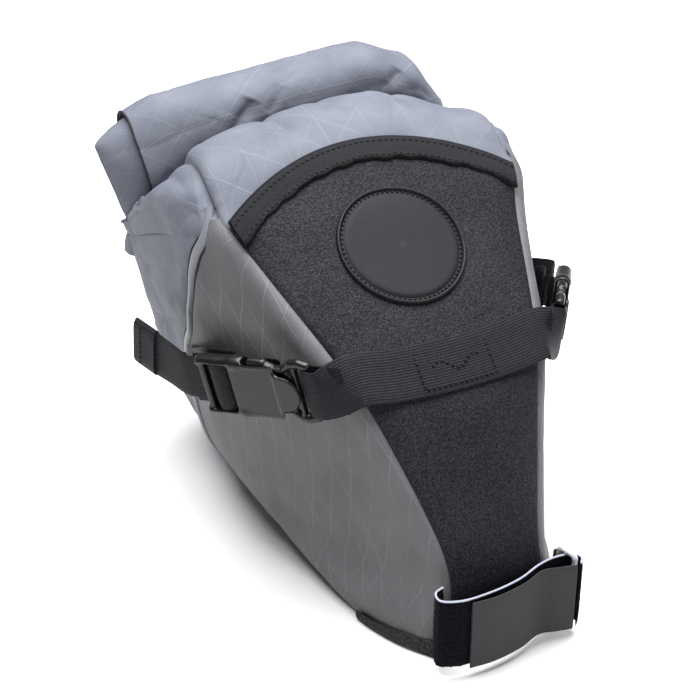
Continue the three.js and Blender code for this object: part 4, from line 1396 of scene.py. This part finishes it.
def add_front_webbing(left, right):
    """Webbing sewn to the middle of the face and looped round the bar of each buckle."""
    wrap = [[-13, -2.6], [-4, -2.7], [2, -2.8], [4.9, -1.7], [5.1, 1.4], [2, 2.8], [-4, 2.6]]
    ends = [b.world([[u, 0, n] for u, n in wrap]) for b in (left, right)]
    rise = rise_of(FACE_STRAP_AT)
    x = np.array([-47, -29, 0, 29, 47])
    flat = on_face(x, np.full(5, rise), np.array([5.0, 3.4, 2.9, 3.4, 5.0]))[0]
    slope = unit(body(0, FACE_STRAP_AT + 0.1) - body(0, FACE_STRAP_AT - 0.1))
    route = np.vstack([ends[0], flat, ends[1][::-1]])
    ups = ([left.across * np.sign(left.across[2])] * 7 + [slope] * 5
           + [right.across * np.sign(right.across[2])] * 7)
    webbing("face_strap_webbing", route, ups, "front_webbing", rests_on=["face_panel_cloth"],
            cols=14, rows=260)
    half_u, half_w = 18.2, 9
    corners = np.array([(-half_u, -half_w), (half_u, -half_w), (half_u, half_w), (-half_u, half_w),
                        (-half_u, -half_w)])
    wave = np.stack([np.linspace(-12, 13, 30), 2.5 * np.sin(np.linspace(0, 9, 30))], axis=1)
    rows = []
    for path in (evenly(corners, 90), wave):
        rows.append(on_face(path[:, 0], rise + path[:, 1], 3.9))
    ob = stitch_rows("box_stitching", rows, 2.7, 1.7, 0.55, 0.3)
    finish_piece(ob, THREAD)


# ---------------------------------------------------------------- nose


def add_nose_base():
    """Rubber guard round the foot of the face, over the front edge of the side panels."""
    rows, cols = 26, 90
    i, j = lattice(rows, cols, -1.4, 1.4)
    turn = np.abs(j)
    q = np.where(turn > 1, np.sign(j) * mix(1, 1.16, (turn - 1) / 0.4), j)
    v = mix(0.02, mix(0.42, 0.3, smooth((turn - 0.8) / 0.6)), i)
    edge = np.minimum(i * 12, (1 - i) * 12)
    inside = np.where(np.abs(q) <= 1, np.clip(q, -0.98, 0.98), q)
    base = body(q, v)
    rise = 3.1 + 1.3 * (1 - np.exp(-edge / 1.2)) + 0.5 * WRINKLE(base, 14)
    outer = base + body_normal(inside, v) * rise[..., None]
    outer[..., 2] = np.maximum(outer[..., 2], 0.0)
    ob = slab("nose_guard", outer, 1.6)
    finish_piece(ob, NOSE, "nose_base")


def strap_line(route, z=STRAP_MIDDLE):
    """A route of x and y at one height."""
    return [[x, y, z] for x, y in route]


def fluffy(ob, amount, seed):
    """Pushes each point of a pile surface in or out at random along its normal."""
    rng = np.random.default_rng(seed)
    mesh = ob.data
    points = np.empty(len(mesh.vertices) * 3)
    normals = np.empty(len(mesh.vertices) * 3)
    mesh.vertices.foreach_get("co", points)
    mesh.vertices.foreach_get("normal", normals)
    points, normals = points.reshape(-1, 3), normals.reshape(-1, 3)
    push = rng.uniform(-0.2, 1, len(points)) * amount * MM
    mesh.vertices.foreach_set("co", (points + normals * push[:, None]).ravel())
    mesh.update()


def add_seatpost_strap():
    """Hook-and-loop strap with its pile outward, a painted highlight along its top edge, and its end flap
    folded back through the ring.
    """
    upright = [0, 0, 1]
    inner = [[-30.6, -49.5], [-35.5, -51.5], [-36.5, -57], [-28, -61.5], [-12, -62], [4, -59.5],
             [16, -55], [23, -53.4], [30, -53.4], [35.6, -54.8], [37.6, -58.6], [35, -62.2]]
    ob = ribbon("seatpost_strap_pile", strap_line(inner), [upright] * 2, STRAP_WIDTH, 1.4, cols=60, rows=220)
    fluffy(ob, 0.5, 5)
    finish_piece(ob, PILE, "seatpost_strap")
    declare_webbing(strap_line(inner))
    # A pale cord along the top edge: a painted highlight.
    path = spline(strap_line(inner, STRAP_MIDDLE + STRAP_WIDTH / 2 + 0.1), 160)
    ob = tube("seatpost_strap_edge_highlight", path, 0.5, 6)
    finish_piece(ob, PAINTED_EDGE_HIGHLIGHT)
    flap = [[33, -62.4], [25, -60.6], [17, -58.8], [4, -63.2], [-12, -65.6], [-24, -64.9]]
    ob = ribbon("strap_end_flap", strap_line(flap), [upright] * 2, STRAP_WIDTH, 1.3, cols=20, rows=80)
    finish_piece(ob, BACKING, "strap_flap", "strap_flap")
    declare_webbing(strap_line(flap))
    hook = [[3, -62.05], [-12, -64.1], [-22, -63.6]]
    ob = ribbon("strap_hook_tape", strap_line(hook), [upright] * 2, STRAP_WIDTH - 4, 0.7, cols=30, rows=40)
    finish_piece(ob, HOOKS, "flap_hook", "strap_flap")
    tab = [[28.3, -49.3], [30.8, -46.3], [34.2, -47.7], [34.1, -51.1], [31, -51.9]]
    ob = ribbon("ring_loop_tab", strap_line(tab), [upright] * 2, STRAP_WIDTH - 3, 0.9, cols=16, rows=40)
    finish_piece(ob, BACKING, "ring_tab")


def add_ring():
    """Clear rectangular ring that the flap is folded through."""
    a, b = np.array([31.4, -49.3]), np.array([34, -58.6])
    half, corner = STRAP_WIDTH / 2 + 1.7, 2.4
    reach = np.linalg.norm(b - a)
    ahead = (b - a) / reach
    outline = []
    for cx, cz, start in ((reach - corner, half - corner, 0), (corner, half - corner, 90),
                          (corner, corner - half, 180), (reach - corner, corner - half, 270)):
        outline += arc((cx, cz), corner, start, start + 90, 7)
    outline.append(outline[0])
    line = np.array([[*(a + ahead * s), STRAP_MIDDLE + z] for s, z in outline])
    ob = tube("clear_ring", line, RING_WIRE, 12, 120, closed=True)
    finish_piece(ob, CLEAR, "strap_ring")


# ---------------------------------------------------------------- build


def finish_cad_nodes():
    """Better materials on the CAD nodes that stay."""
    for name in ("front_stiffener", "bottom_stiffener", "roll_stiffener"):
        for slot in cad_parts[name].material_slots:
            slot.material = SHEET


add_camera()
add_studio()
add_face_panel()
add_binding()
for side, name in ((-1, "left"), (1, "right")):
    add_side_panel(side, f"{name}_side_panel")
    add_seam_tape(side, f"{name}_seam_tape")
add_back_panel()
add_bottom_panel()
add_collar()
add_roll()
add_patch()
left, right = Buckle(-1), Buckle(1)
halves = (female_shape(), male_shape(), {w: prong_shape(w) for w in (-1, 1)})
for buckle in (left, right):
    add_buckle(buckle, *halves)
    add_side_webbing(buckle)
add_front_webbing(left, right)
add_nose_base()
add_seatpost_strap()
add_ring()
finish_cad_nodes()
